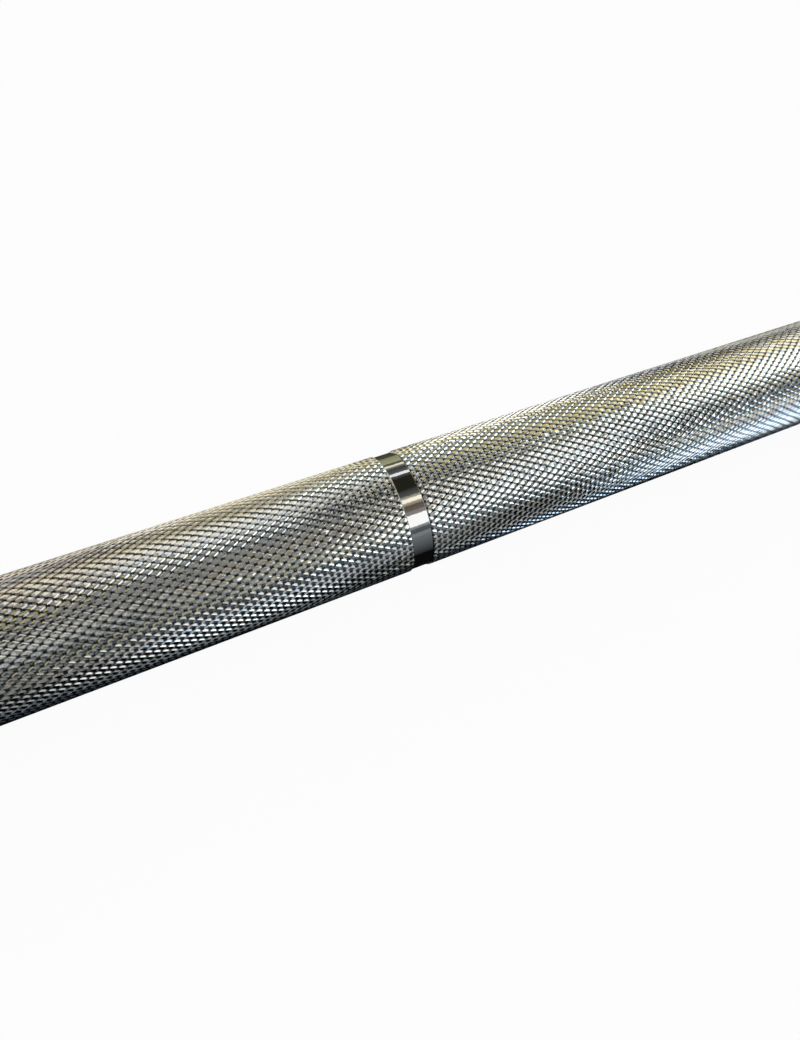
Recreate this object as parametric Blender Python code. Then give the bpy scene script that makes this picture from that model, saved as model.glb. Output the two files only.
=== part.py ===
"""Safety squat bar: a straight knurled shaft with turning sleeves and a clamped, padded shoulder yoke.

Metres, +Z up. The bar lies on a floor at z = 0 along X, its handles point forward, towards -Y, and their
ends touch the floor. The origin is on the floor, under the middle of the bounding box.
"""

import math

import bmesh
import bpy
from mathutils import Matrix, Vector

# Clearances
FACE_GAP = 0.0003
RUNNING_GAP = 0.00045

# Facets round a turned piece, a tube or pad, and a screw
TURNED_SIDES = 24
TUBE_SIDES = 16
SCREW_SIDES = 12

# Shaft
SHAFT_RADIUS = 0.01425
KNURL_RISE = 0.00015
MARK_DEPTH = 0.00015
MARK_WIDTH = 0.0051
MARK_SPREAD = 0.810
KNURL_FROM_ARM = 0.060
KNURL_FROM_COLLAR = 0.009
COLLAR_SPREAD = 1.310
JOURNAL_STEP = 0.00155
SHOULDER_INSET = 0.005
SHAFT_END_INSET = 0.020
SHAFT_CHAMFER = 0.001

# Sleeve tube and its collar
SLEEVE_RADIUS = 0.025
SLEEVE_LENGTH = 0.445
SLEEVE_LAND_STEP = 0.0013
SLEEVE_CHAMFER = 0.001
COLLAR_LIP = 0.014
COLLAR_HUB_WALL = 0.007
COLLAR_WIDTH = 0.030
COLLAR_HUB_WIDTH = 0.011
COLLAR_SLOPE = 0.005
COLLAR_CHAMFER = 0.0012

# Plain bearings, thrust washers and retaining rings
BUSHING_WALL = 0.00485
BUSHING_LENGTH = 0.040
WASHER_INSET = 0.0005
WASHER_THICKNESS = 0.002
SHAFT_RING_STANDOUT = 0.0013
SHAFT_RING_THICKNESS = 0.0018
SHAFT_RING_FROM_END = 0.005
SHAFT_GROOVE_DEPTH = 0.0012
RING_OPENING_DEGREES = 36

# End cap, held in the sleeve by an inner retaining ring. Its ledge and groove are shares of the tube's wall
CAP_LEDGE_SHARE = 0.25
CAP_THICKNESS = 0.005
CAP_CHAMFER = 0.0008
CAP_RECESS = 0.007
CAP_RING_THICKNESS = 0.0014
CAP_RING_WIDTH = 0.0033
CAP_GROOVE_SHARE = 0.2

# Yoke clamps
ARM_SPREAD = 0.250
CLAMP_WIDTH = 0.044
CLAMP_SPLIT = 0.002
CLAMP_SCREW_WALL = 0.0035
CLAMP_OUTER_WALL = 0.0105
BOSS_ROOT = 0.004
BOSS_WALL = 0.0057
SOCKET_WALL = 0.0163
SOCKET_DEPTH = 0.015
CLAMP_SCREW_RADIUS = 0.004
CLAMP_SCREW_SPACING = 0.024
CLAMP_SCREW_REACH = 0.016
SCREW_HEAD_RADIUS = 0.0065
SCREW_HEAD_HEIGHT = 0.008
SCREW_SEAT = 0.0105
SCREW_KEY_RADIUS = 0.0035
SCREW_KEY_DEPTH = 0.004

# Yoke arms and handles
ARM_RADIUS = 0.0143
ARM_WALL = 0.003
ARM_RISE_DEGREES = 38
ARM_FALL_DEGREES = 24
ARM_STRAIGHT = 0.070
ARM_BEND_RADIUS = 0.140
ARM_BEND_STEPS = 6
GRIP_WALL = 0.0027
GRIP_FROM_PAD = 0.016
GRIP_CHAMFER = 0.001
PLUG_LENGTH = 0.008
PLUG_ROUND = 0.003
PLUG_ROUND_MIDDLE = 0.32
PLUG_SPIGOT = 0.018
GRIP_SCREW_RADIUS = 0.003
GRIP_SCREW_HEAD_RADIUS = 0.0052
GRIP_SCREW_HEAD_ROUND = 0.002
GRIP_SCREW_STANDOUT = 0.0006
GRIP_SCREW_TIP = 0.002
GRIP_SCREW_INSET = 0.012

# Pads: a foam core in a sewn cover
COVER_THICKNESS = 0.0016
PAD_EDGE_THICKNESS = 0.0125
PAD_EDGE_ROUND = 0.020
PAD_EDGE_STEPS = (0, 0.15, 0.45, 1)
PAD_STEP_APART = 0.005
PAD_FULLNESS = 8
SHOULDER_PAD_THICKNESS = 0.0272
SHOULDER_PAD_FROM_BOSS = 0.006
SHOULDER_PAD_PAST_BEND = 0.020
NECK_PAD_THICKNESS = 0.0248
NECK_PAD_FROM_CLAMP = 0.011
NECK_PAD_FORWARD = 0.0065
NECK_PAD_UP = 0.005


def flat_share(sides):
    """How far the flats of a faceted round lie from its axis, as a share of its radius."""
    return math.cos(math.pi / sides)


def clear_bore(radius, sides):
    """The radius of a faceted bore whose flats clear a round of this radius."""
    return radius / flat_share(sides) + FACE_GAP


# Radii that fit one piece to the next, from the shaft outwards
KNURL_RADIUS = SHAFT_RADIUS + KNURL_RISE
MARK_RADIUS = SHAFT_RADIUS - MARK_DEPTH
JOURNAL_RADIUS = SHAFT_RADIUS - JOURNAL_STEP
BORE_RADIUS = JOURNAL_RADIUS + RUNNING_GAP
BUSHING_RADIUS = BORE_RADIUS + BUSHING_WALL
BUSHING_SEAT_RADIUS = BUSHING_RADIUS + FACE_GAP
SLEEVE_WALL = SLEEVE_RADIUS - BUSHING_SEAT_RADIUS
WASHER_RADIUS = BUSHING_RADIUS - WASHER_INSET
SLEEVE_LAND_RADIUS = BUSHING_SEAT_RADIUS - SLEEVE_LAND_STEP
CAP_RADIUS = BUSHING_SEAT_RADIUS + CAP_LEDGE_SHARE * SLEEVE_WALL
CAP_SEAT_RADIUS = CAP_RADIUS + FACE_GAP
CAP_GROOVE_RADIUS = CAP_SEAT_RADIUS + CAP_GROOVE_SHARE * SLEEVE_WALL
COLLAR_RADIUS = SLEEVE_RADIUS + COLLAR_LIP
COLLAR_HUB_RADIUS = SLEEVE_RADIUS + COLLAR_HUB_WALL
SHAFT_GROOVE_RADIUS = JOURNAL_RADIUS - SHAFT_GROOVE_DEPTH
SHAFT_RING_RADIUS = JOURNAL_RADIUS + SHAFT_RING_STANDOUT
GRIP_RADIUS = ARM_RADIUS + GRIP_WALL

# Distances along the bar from its middle
COLLAR_INNER = COLLAR_SPREAD / 2
BAR_END = COLLAR_INNER + SLEEVE_LENGTH
MARK_X = MARK_SPREAD / 2
KNURL_START = ARM_SPREAD / 2 + KNURL_FROM_ARM
KNURL_END = COLLAR_INNER - KNURL_FROM_COLLAR
SHOULDER_X = COLLAR_INNER + SHOULDER_INSET
TUBE_INNER = SHOULDER_X + FACE_GAP
INNER_WASHER_X = SHOULDER_X + FACE_GAP
INNER_BUSHING_X = INNER_WASHER_X + WASHER_THICKNESS + FACE_GAP
INNER_SEAT_END = INNER_BUSHING_X + BUSHING_LENGTH + FACE_GAP
SHAFT_END = BAR_END - SHAFT_END_INSET
SHAFT_RING_X = SHAFT_END - SHAFT_RING_FROM_END - SHAFT_RING_THICKNESS
OUTER_WASHER_X = SHAFT_RING_X - FACE_GAP - WASHER_THICKNESS
OUTER_BUSHING_X = OUTER_WASHER_X - FACE_GAP - BUSHING_LENGTH
OUTER_SEAT_START = OUTER_BUSHING_X - FACE_GAP
CAP_OUTER = BAR_END - CAP_RECESS
CAP_INNER = CAP_OUTER - CAP_THICKNESS
CAP_SEAT_X = CAP_INNER - FACE_GAP
CAP_RING_X = CAP_OUTER + FACE_GAP

# Clamp sizes, from the shaft's axis
CLAMP_BORE = clear_bore(SHAFT_RADIUS, TURNED_SIDES)
CLAMP_HOLE_RADIUS = CLAMP_SCREW_RADIUS + FACE_GAP
CLAMP_SCREW_OFFSET = CLAMP_BORE + CLAMP_SCREW_WALL + CLAMP_HOLE_RADIUS
CLAMP_RADIUS = CLAMP_SCREW_OFFSET + CLAMP_OUTER_WALL
SOCKET_FLOOR = CLAMP_BORE + SOCKET_WALL
BOSS_END = SOCKET_FLOOR + SOCKET_DEPTH
BOSS_RADIUS = ARM_RADIUS + BOSS_WALL

# The yoke arm's run from the shaft's axis: straight up, round the bend, then down to the floor
RISE = math.radians(ARM_RISE_DEGREES)
FALL = math.radians(ARM_FALL_DEGREES)
BEND_LENGTH = ARM_BEND_RADIUS * (RISE + FALL)
BEND_END = ARM_STRAIGHT + BEND_LENGTH
BEND_END_UP = ARM_STRAIGHT * math.sin(RISE) + ARM_BEND_RADIUS * (math.cos(FALL) - math.cos(RISE))
BEND_END_FORWARD = ARM_STRAIGHT * math.cos(RISE) + ARM_BEND_RADIUS * (math.sin(RISE) + math.sin(FALL))
COLLAR_REST = COLLAR_RADIUS * flat_share(TURNED_SIDES)
TIP_DROP = COLLAR_REST + BEND_END_UP - GRIP_RADIUS * math.cos(FALL)
RUN_TO_TIP = (TIP_DROP + PLUG_ROUND * math.sin(FALL)) / math.sin(FALL)
ARM_END = BEND_END + RUN_TO_TIP - PLUG_LENGTH - FACE_GAP
REACH = BEND_END_FORWARD + RUN_TO_TIP * math.cos(FALL) + (GRIP_RADIUS - PLUG_ROUND) * math.sin(FALL)
SHOULDER_PAD_START = BOSS_END + SHOULDER_PAD_FROM_BOSS
SHOULDER_PAD_END = BEND_END + SHOULDER_PAD_PAST_BEND
GRIP_START = SHOULDER_PAD_END + GRIP_FROM_PAD

# The shaft's place: its collars rest on a flat, and the handles' reach is centred over the origin
AXIS = Vector((0, (REACH - COLLAR_REST) / 2, COLLAR_REST))

SIDES = (("left", -1), ("right", 1))

FINISHES = {
    "chrome": ((0.62, 0.62, 0.60), 0.12, 1.0),
    "satin_steel": ((0.52, 0.52, 0.53), 0.32, 1.0),
    "bronze": ((0.55, 0.38, 0.18), 0.35, 1.0),
    "black_steel": ((0.03, 0.03, 0.032), 0.4, 1.0),
    "black_coat": ((0.022, 0.022, 0.024), 0.45, 0.0),
    "leatherette": ((0.025, 0.025, 0.026), 0.55, 0.0),
    "foam": ((0.35, 0.35, 0.33), 0.9, 0.0),
    "rubber": ((0.02, 0.02, 0.02), 0.7, 0.0),
}


def clear_scene():
    """Removes whatever the scene holds."""
    for obj in list(bpy.data.objects):
        bpy.data.objects.remove(obj, do_unlink=True)


def make_material(name):
    """The Principled material of one finish."""
    colour, roughness, metallic = FINISHES[name]
    material = bpy.data.materials.get(name) or bpy.data.materials.new(name)
    material.use_nodes = True
    shader = material.node_tree.nodes["Principled BSDF"]
    shader.inputs["Base Color"].default_value = (*colour, 1)
    shader.inputs["Roughness"].default_value = roughness
    shader.inputs["Metallic"].default_value = metallic
    return material


def make_object(name, bm, finish):
    """An object from a finished bmesh, with its doubles merged and its faces turned outwards."""
    bmesh.ops.remove_doubles(bm, verts=bm.verts, dist=1e-6)
    bmesh.ops.recalc_face_normals(bm, faces=bm.faces)
    mesh = bpy.data.meshes.new(name)
    bm.to_mesh(mesh)
    bm.free()
    mesh.shade_smooth()
    mesh.set_sharp_from_angle(angle=math.radians(35))
    mesh.materials.append(make_material(finish))
    obj = bpy.data.objects.new(name, mesh)
    bpy.context.scene.collection.objects.link(obj)
    return obj


def make_empty(name, location, turn_x=0.0):
    """An empty that carries pieces, placed and turned about X."""
    empty = bpy.data.objects.new(name, None)
    empty.location = location
    empty.rotation_euler = (turn_x, 0, 0)
    bpy.context.scene.collection.objects.link(empty)
    return empty


def carry(empty, *pieces):
    """Parents the pieces to the empty, whose frame they are modelled in."""
    for piece in pieces:
        piece.parent = empty


def spin_profile(bm, profile, sides, degrees=360.0):
    """Turns a closed or open profile of (x, radius) points about the X axis."""
    solid = profile[0][1] == 0 and profile[-1][1] == 0
    verts = [bm.verts.new((x, 0, radius)) for x, radius in profile]
    edges = [bm.edges.new(pair) for pair in zip(verts, verts[1:])]
    if not solid:
        edges.append(bm.edges.new((verts[-1], verts[0])))
    whole = degrees == 360.0
    bmesh.ops.spin(
        bm,
        geom=verts + edges,
        cent=(0, 0, 0),
        axis=(1, 0, 0),
        angle=math.radians(degrees),
        steps=sides,
        use_merge=whole,
    )
    if not whole:
        bmesh.ops.holes_fill(bm, edges=bm.edges, sides=len(profile))


def turned(name, profile, finish, sides=TURNED_SIDES, sign=1, degrees=360.0, start=0.0):
    """A turned piece on the X axis. A sign of -1 mirrors it to the left end of the bar."""
    bm = bmesh.new()
    spin_profile(bm, [(sign * x, radius) for x, radius in profile], sides, degrees)
    bmesh.ops.rotate(bm, verts=bm.verts, cent=(0, 0, 0), matrix=Matrix.Rotation(start, 3, "X"))
    return make_object(name, bm, finish)


def tube_profile(x_start, x_end, inner, outer):
    """The profile of a plain tube or washer."""
    return [(x_start, inner), (x_start, outer), (x_end, outer), (x_end, inner)]


def lofted(name, stations, finish, sides=TUBE_SIDES):
    """A closed body through rings, each a (matrix, radius), whose last ring meets the first."""
    bm = bmesh.new()
    rings = []
    for matrix, radius in stations:
        made = bmesh.ops.create_circle(bm, cap_ends=False, radius=radius, segments=sides, matrix=matrix)
        rings.append(made["verts"])
    for ring, following in zip(rings, rings[1:] + rings[:1]):
        for here in range(sides):
            beside = (here + 1) % sides
            bm.faces.new((ring[here], ring[beside], following[beside], following[here]))
    return make_object(name, bm, finish)


def cylinder_mesh(bm, radius, start, end, sides, matrix=Matrix.Identity(4)):
    """A capped cylinder along the Z axis of matrix, from start to end."""
    middle = matrix @ Matrix.Translation((0, 0, (start + end) / 2))
    bmesh.ops.create_cone(
        bm,
        cap_ends=True,
        segments=sides,
        radius1=radius,
        radius2=radius,
        depth=end - start,
        matrix=middle,
    )


def tool(name, bm):
    """A cutter or a shape to join: kept in the scene, hidden from the render."""
    obj = make_object(name, bm, "satin_steel")
    obj.hide_render = True
    obj.display_type = "WIRE"
    return obj


def combine(piece, other, operation):
    """Adds a Boolean modifier to the piece."""
    modifier = piece.modifiers.new(f"{operation.lower()}_{other.name}", "BOOLEAN")
    modifier.operation = operation
    modifier.object = other


def make_shaft():
    """The solid bar: knurled grips with a smooth mark, and a turned journal at each end."""
    groove_start = SHAFT_RING_X - FACE_GAP
    groove_end = SHAFT_RING_X + SHAFT_RING_THICKNESS + FACE_GAP
    half = [
        (KNURL_START, SHAFT_RADIUS),
        (KNURL_START, KNURL_RADIUS),
        (MARK_X - MARK_WIDTH / 2, KNURL_RADIUS),
        (MARK_X - MARK_WIDTH / 2, MARK_RADIUS),
        (MARK_X + MARK_WIDTH / 2, MARK_RADIUS),
        (MARK_X + MARK_WIDTH / 2, KNURL_RADIUS),
        (KNURL_END, KNURL_RADIUS),
        (KNURL_END, SHAFT_RADIUS),
        (SHOULDER_X, SHAFT_RADIUS),
        (SHOULDER_X, JOURNAL_RADIUS),
        (groove_start, JOURNAL_RADIUS),
        (groove_start, SHAFT_GROOVE_RADIUS),
        (groove_end, SHAFT_GROOVE_RADIUS),
        (groove_end, JOURNAL_RADIUS),
        (SHAFT_END - SHAFT_CHAMFER, JOURNAL_RADIUS),
        (SHAFT_END, JOURNAL_RADIUS - SHAFT_CHAMFER),
        (SHAFT_END, 0),
    ]
    whole = [(-x, radius) for x, radius in reversed(half)] + half
    return turned("shaft", whole, "chrome")


def make_sleeve_tube(side, sign):
    """The tube that plates slide on, bored for two bushings and the end cap."""
    groove_end = CAP_RING_X + CAP_RING_THICKNESS + FACE_GAP
    profile = [
        (TUBE_INNER, BUSHING_SEAT_RADIUS),
        (TUBE_INNER, SLEEVE_RADIUS),
        (BAR_END - SLEEVE_CHAMFER, SLEEVE_RADIUS),
        (BAR_END, SLEEVE_RADIUS - SLEEVE_CHAMFER),
        (BAR_END, CAP_SEAT_RADIUS),
        (groove_end, CAP_SEAT_RADIUS),
        (groove_end, CAP_GROOVE_RADIUS),
        (CAP_OUTER, CAP_GROOVE_RADIUS),
        (CAP_OUTER, CAP_SEAT_RADIUS),
        (CAP_SEAT_X, CAP_SEAT_RADIUS),
        (CAP_SEAT_X, BUSHING_SEAT_RADIUS),
        (OUTER_SEAT_START, BUSHING_SEAT_RADIUS),
        (OUTER_SEAT_START, SLEEVE_LAND_RADIUS),
        (INNER_SEAT_END, SLEEVE_LAND_RADIUS),
        (INNER_SEAT_END, BUSHING_SEAT_RADIUS),
    ]
    return turned(f"sleeve_tube_{side}", profile, "chrome", sign=sign)


def make_sleeve_collar(side, sign):
    """The flange that plates stop against, cupped over the sleeve tube's inner end."""
    outer = COLLAR_INNER + COLLAR_WIDTH
    bore = SHAFT_RADIUS + RUNNING_GAP
    socket = clear_bore(SLEEVE_RADIUS, TURNED_SIDES)
    slope_start = COLLAR_INNER + COLLAR_HUB_WIDTH
    profile = [
        (COLLAR_INNER, bore),
        (COLLAR_INNER, COLLAR_HUB_RADIUS - COLLAR_CHAMFER),
        (COLLAR_INNER + COLLAR_CHAMFER, COLLAR_HUB_RADIUS),
        (slope_start, COLLAR_HUB_RADIUS),
        (slope_start + COLLAR_SLOPE, COLLAR_RADIUS),
        (outer - COLLAR_CHAMFER, COLLAR_RADIUS),
        (outer, COLLAR_RADIUS - COLLAR_CHAMFER),
        (outer, socket),
        (SHOULDER_X, socket),
        (SHOULDER_X, bore),
    ]
    half_facet = math.pi / TURNED_SIDES
    return turned(f"sleeve_collar_{side}", profile, "chrome", sign=sign, start=half_facet)


def make_ring(name, x, thickness, inner, outer, sign, start):
    """An open retaining ring."""
    degrees = 360 - RING_OPENING_DEGREES
    profile = tube_profile(x, x + thickness, inner, outer)
    return turned(name, profile, "black_steel", TURNED_SIDES, sign, degrees, start)


def make_sleeve_end(side, sign, bar_axis):
    """One end of the bar: the turning sleeve with its bushings and cap, and what the shaft keeps."""
    opening = math.radians(RING_OPENING_DEGREES / 2)
    cap_ring_outer = CAP_GROOVE_RADIUS * flat_share(TURNED_SIDES) - FACE_GAP
    cap_profile = [
        (CAP_INNER, 0),
        (CAP_INNER, CAP_RADIUS),
        (CAP_OUTER - CAP_CHAMFER, CAP_RADIUS),
        (CAP_OUTER, CAP_RADIUS - CAP_CHAMFER),
        (CAP_OUTER, 0),
    ]
    bushings = [
        turned(
            f"{place}_bushing_{side}",
            tube_profile(x, x + BUSHING_LENGTH, BORE_RADIUS, BUSHING_RADIUS),
            "bronze",
            sign=sign,
        )
        for place, x in (("inner", INNER_BUSHING_X), ("outer", OUTER_BUSHING_X))
    ]
    washers = [
        turned(
            f"{place}_thrust_washer_{side}",
            tube_profile(x, x + WASHER_THICKNESS, BORE_RADIUS, WASHER_RADIUS),
            "bronze",
            sign=sign,
        )
        for place, x in (("inner", INNER_WASHER_X), ("outer", OUTER_WASHER_X))
    ]
    turning = [
        make_sleeve_tube(side, sign),
        make_sleeve_collar(side, sign),
        turned(f"end_cap_{side}", cap_profile, "satin_steel", sign=sign),
        make_ring(
            f"end_cap_ring_{side}",
            CAP_RING_X,
            CAP_RING_THICKNESS,
            cap_ring_outer - CAP_RING_WIDTH,
            cap_ring_outer,
            sign,
            opening,
        ),
    ]
    shaft_ring = make_ring(
        f"shaft_ring_{side}",
        SHAFT_RING_X,
        SHAFT_RING_THICKNESS,
        SHAFT_GROOVE_RADIUS + FACE_GAP,
        SHAFT_RING_RADIUS,
        sign,
        opening,
    )
    carry(bar_axis, *washers, shaft_ring)
    sleeve_axis = make_empty(f"sleeve_axis_{side}", AXIS)
    carry(sleeve_axis, *bushings, *turning)


def screw_places():
    """Where the four screws of a clamp cross its split, as (x, y)."""
    return [
        (across * CLAMP_SCREW_SPACING / 2, around * CLAMP_SCREW_OFFSET)
        for across in (-1, 1)
        for around in (-1, 1)
    ]


def clamp_blank(name, keep_up):
    """Half of a ring round the shaft, cut at the split. Its frame's Z axis crosses the split."""
    profile = tube_profile(-CLAMP_WIDTH / 2, CLAMP_WIDTH / 2, CLAMP_BORE, CLAMP_RADIUS)
    blank = turned(name, profile, "black_steel")
    bm = bmesh.new()
    side = 4 * CLAMP_RADIUS
    shift = (side / 2 - CLAMP_SPLIT / 2) * (-1 if keep_up else 1)
    bmesh.ops.create_cube(bm, size=side, matrix=Matrix.Translation((0, 0, shift)))
    cutter = tool(f"{name}_split_cutter", bm)
    return blank, cutter


def screw_cutter(name, radius, start, end):
    """A cutter for a clamp half's four screw holes, or for the seats of the heads."""
    bm = bmesh.new()
    for x, y in screw_places():
        cylinder_mesh(bm, radius, start, end, SCREW_SIDES, Matrix.Translation((x, y, 0)))
    return tool(name, bm)


def make_clamp_saddle(side):
    """The clamp half that carries the arm in a round socket."""
    name = f"clamp_saddle_{side}"
    saddle, split = clamp_blank(name, keep_up=True)
    bm = bmesh.new()
    cylinder_mesh(bm, BOSS_RADIUS, CLAMP_BORE + BOSS_ROOT, BOSS_END, TURNED_SIDES)
    boss = tool(f"{name}_boss", bm)
    bm = bmesh.new()
    cylinder_mesh(bm, ARM_RADIUS + FACE_GAP, SOCKET_FLOOR, 2 * BOSS_END, TUBE_SIDES)
    socket = tool(f"{name}_socket_cutter", bm)
    hole_end = CLAMP_SCREW_REACH + FACE_GAP
    holes = screw_cutter(f"{name}_hole_cutter", CLAMP_HOLE_RADIUS, -CLAMP_SPLIT, hole_end)
    combine(saddle, boss, "UNION")
    for cutter in (split, socket, holes):
        combine(saddle, cutter, "DIFFERENCE")
    return [saddle, split, boss, socket, holes]


def make_clamp_cap(side):
    """The clamp half that the screws pull up from below."""
    name = f"clamp_cap_{side}"
    cap, split = clamp_blank(name, keep_up=False)
    holes = screw_cutter(f"{name}_hole_cutter", CLAMP_HOLE_RADIUS, -CLAMP_RADIUS, CLAMP_SPLIT)
    seat_radius = SCREW_HEAD_RADIUS + FACE_GAP
    seats = screw_cutter(f"{name}_seat_cutter", seat_radius, -2 * CLAMP_RADIUS, -SCREW_SEAT)
    for cutter in (split, holes, seats):
        combine(cap, cutter, "DIFFERENCE")
    return [cap, split, holes, seats]


def make_hexagon(bm, radius):
    """Draws every second corner of the twelve-sided ring at this radius in, onto a hexagon's sides."""
    for vert in bm.verts:
        step = round(math.atan2(vert.co.y, vert.co.z) / math.radians(30))
        if math.isclose(math.hypot(vert.co.y, vert.co.z), radius, rel_tol=0.01) and step % 2:
            vert.co.yz *= flat_share(6)


def clamp_screw_mesh(name, x, y):
    """A socket head screw entered from the cap, its axis along Z at (x, y)."""
    head_top = -SCREW_SEAT - FACE_GAP
    head_face = head_top - SCREW_HEAD_HEIGHT
    key_floor = head_face + SCREW_KEY_DEPTH
    profile = [
        (key_floor, 0),
        (key_floor, SCREW_KEY_RADIUS),
        (head_face, SCREW_KEY_RADIUS),
        (head_face, SCREW_HEAD_RADIUS),
        (head_top, SCREW_HEAD_RADIUS),
        (head_top, CLAMP_SCREW_RADIUS),
        (CLAMP_SCREW_REACH, CLAMP_SCREW_RADIUS),
        (CLAMP_SCREW_REACH, 0),
    ]
    bm = bmesh.new()
    spin_profile(bm, profile, SCREW_SIDES)
    make_hexagon(bm, SCREW_KEY_RADIUS)
    stand = Matrix.Translation((x, y, 0)) @ Matrix.Rotation(-math.pi / 2, 4, "Y")
    bmesh.ops.transform(bm, verts=bm.verts, matrix=stand)
    return make_object(name, bm, "black_steel")


def make_clamp_screws(side):
    """The clamp's four screws, each its own piece."""
    return [
        clamp_screw_mesh(f"clamp_screw_{side}_{number}", x, y)
        for number, (x, y) in enumerate(screw_places(), start=1)
    ]


def arm_station(run):
    """The frame at a length of run along the arm from the shaft's axis. Its Z axis is the arm's line."""
    if run <= ARM_STRAIGHT:
        return Matrix.Translation((0, 0, run))
    bent = min(run - ARM_STRAIGHT, BEND_LENGTH) / ARM_BEND_RADIUS
    centre = Vector((0, -ARM_BEND_RADIUS, ARM_STRAIGHT))
    turn = Matrix.Translation(centre) @ Matrix.Rotation(bent, 4, "X") @ Matrix.Translation(-centre)
    past = max(0.0, run - BEND_END)
    return turn @ Matrix.Translation((0, 0, ARM_STRAIGHT + past))


def bend_runs():
    """The lengths of run at the arm's steps round the bend."""
    return [ARM_STRAIGHT + BEND_LENGTH * step / ARM_BEND_STEPS for step in range(ARM_BEND_STEPS + 1)]


def make_arm(side, screw_cutter):
    """The bent tube from the clamp's socket to the end of the handle."""
    runs = [SOCKET_FLOOR + FACE_GAP, *bend_runs(), ARM_END]
    outer = [(arm_station(run), ARM_RADIUS) for run in runs]
    inner = [(arm_station(run), ARM_RADIUS - ARM_WALL) for run in reversed(runs)]
    arm = lofted(f"yoke_arm_{side}", outer + inner, "black_coat")
    combine(arm, screw_cutter, "DIFFERENCE")
    return arm


def make_grip(side, screw_cutter):
    """The knurled steel tube that slides on the arm's straight end."""
    bore = ARM_RADIUS + FACE_GAP
    rings = [
        (GRIP_START, bore),
        (GRIP_START, GRIP_RADIUS - GRIP_CHAMFER),
        (GRIP_START + GRIP_CHAMFER, GRIP_RADIUS),
        (ARM_END - GRIP_CHAMFER, GRIP_RADIUS),
        (ARM_END, GRIP_RADIUS - GRIP_CHAMFER),
        (ARM_END, bore),
    ]
    grip = lofted(f"handle_grip_{side}", [(arm_station(run), radius) for run, radius in rings], "chrome")
    combine(grip, screw_cutter, "DIFFERENCE")
    return grip


def make_plug(side):
    """The rounded rubber plug that closes the handle and stands on the floor."""
    face = ARM_END + FACE_GAP
    tip = face + PLUG_LENGTH
    middle = PLUG_ROUND_MIDDLE * PLUG_ROUND
    spigot_radius = ARM_RADIUS - ARM_WALL - FACE_GAP
    profile = [
        (ARM_END - PLUG_SPIGOT, 0),
        (ARM_END - PLUG_SPIGOT, spigot_radius),
        (face, spigot_radius),
        (face, GRIP_RADIUS),
        (tip - PLUG_ROUND, GRIP_RADIUS),
        (tip - middle, GRIP_RADIUS - middle),
        (tip, GRIP_RADIUS - PLUG_ROUND),
        (tip, 0),
    ]
    bm = bmesh.new()
    spin_profile(bm, [(run - ARM_END, radius) for run, radius in profile], TUBE_SIDES)
    stand = arm_station(ARM_END) @ Matrix.Rotation(-math.pi / 2, 4, "Y")
    bmesh.ops.transform(bm, verts=bm.verts, matrix=stand)
    return make_object(f"handle_plug_{side}", bm, "rubber")


def grip_screw_frame():
    """The frame of the grip's screw: its Z axis points down, square to the handle."""
    return arm_station(GRIP_START + GRIP_SCREW_INSET) @ Matrix.Rotation(math.pi / 2, 4, "X")


def make_grip_screw(side):
    """The button head screw that keeps the grip from turning, and the cutters for its holes."""
    seat = ARM_RADIUS + FACE_GAP
    head_end = GRIP_RADIUS + GRIP_SCREW_STANDOUT
    tip = ARM_RADIUS - ARM_WALL - GRIP_SCREW_TIP
    profile = [
        (tip, 0),
        (tip, GRIP_SCREW_RADIUS),
        (seat, GRIP_SCREW_RADIUS),
        (seat, GRIP_SCREW_HEAD_RADIUS),
        (head_end - GRIP_SCREW_HEAD_ROUND / 2, GRIP_SCREW_HEAD_RADIUS),
        (head_end, GRIP_SCREW_HEAD_RADIUS - GRIP_SCREW_HEAD_ROUND),
        (head_end, 0),
    ]
    place = grip_screw_frame()
    bm = bmesh.new()
    spin_profile(bm, profile, SCREW_SIDES)
    bmesh.ops.transform(bm, verts=bm.verts, matrix=place @ Matrix.Rotation(-math.pi / 2, 4, "Y"))
    screw = make_object(f"grip_screw_{side}", bm, "black_steel")
    bm = bmesh.new()
    cylinder_mesh(bm, GRIP_SCREW_RADIUS + FACE_GAP, 0, 2 * GRIP_RADIUS, SCREW_SIDES, place)
    arm_cutter = tool(f"arm_hole_cutter_{side}", bm)
    bm = bmesh.new()
    cylinder_mesh(bm, GRIP_SCREW_HEAD_RADIUS + FACE_GAP, 0, 2 * GRIP_RADIUS, SCREW_SIDES, place)
    grip_cutter = tool(f"grip_hole_cutter_{side}", bm)
    return screw, arm_cutter, grip_cutter


def pad_radius(run, length, edge, crown):
    """The cover's outer radius along a pad: drawn in at the ends and crowned between."""
    from_middle = abs(2 * run / length - 1)
    return edge + (crown - edge) * math.sqrt(1 - from_middle**PAD_FULLNESS)


def pad_outline(length, bar_radius, thickness, hole, middle_runs):
    """Half the cover's section, from hole to hole, as (run, radius). Close steps are left out."""
    ends = [share * PAD_EDGE_ROUND for share in PAD_EDGE_STEPS]
    fixed = ends + [length - run for run in reversed(ends)]
    kept = [run for run in middle_runs if min(abs(run - other) for other in fixed) > PAD_STEP_APART]
    edge, crown = bar_radius + PAD_EDGE_THICKNESS, bar_radius + thickness
    skin = [(run, pad_radius(run, length, edge, crown)) for run in sorted(fixed + kept)]
    return [(0, hole), *skin, (length, hole)]


def inset_outline(outline, depth):
    """The outline moved inwards by depth, mitred at its corners, without its two hole ends."""
    moved = []
    for before, here, after in zip(outline, outline[1:], outline[2:]):
        corner = Vector(here)
        sides = (corner - Vector(before), Vector(after) - corner)
        inwards = [Vector((side.y, -side.x)).normalized() for side in sides]
        mitre = (inwards[0] + inwards[1]).normalized()
        moved.append(tuple(corner + mitre * depth / mitre.dot(inwards[0])))
    return moved


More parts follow.
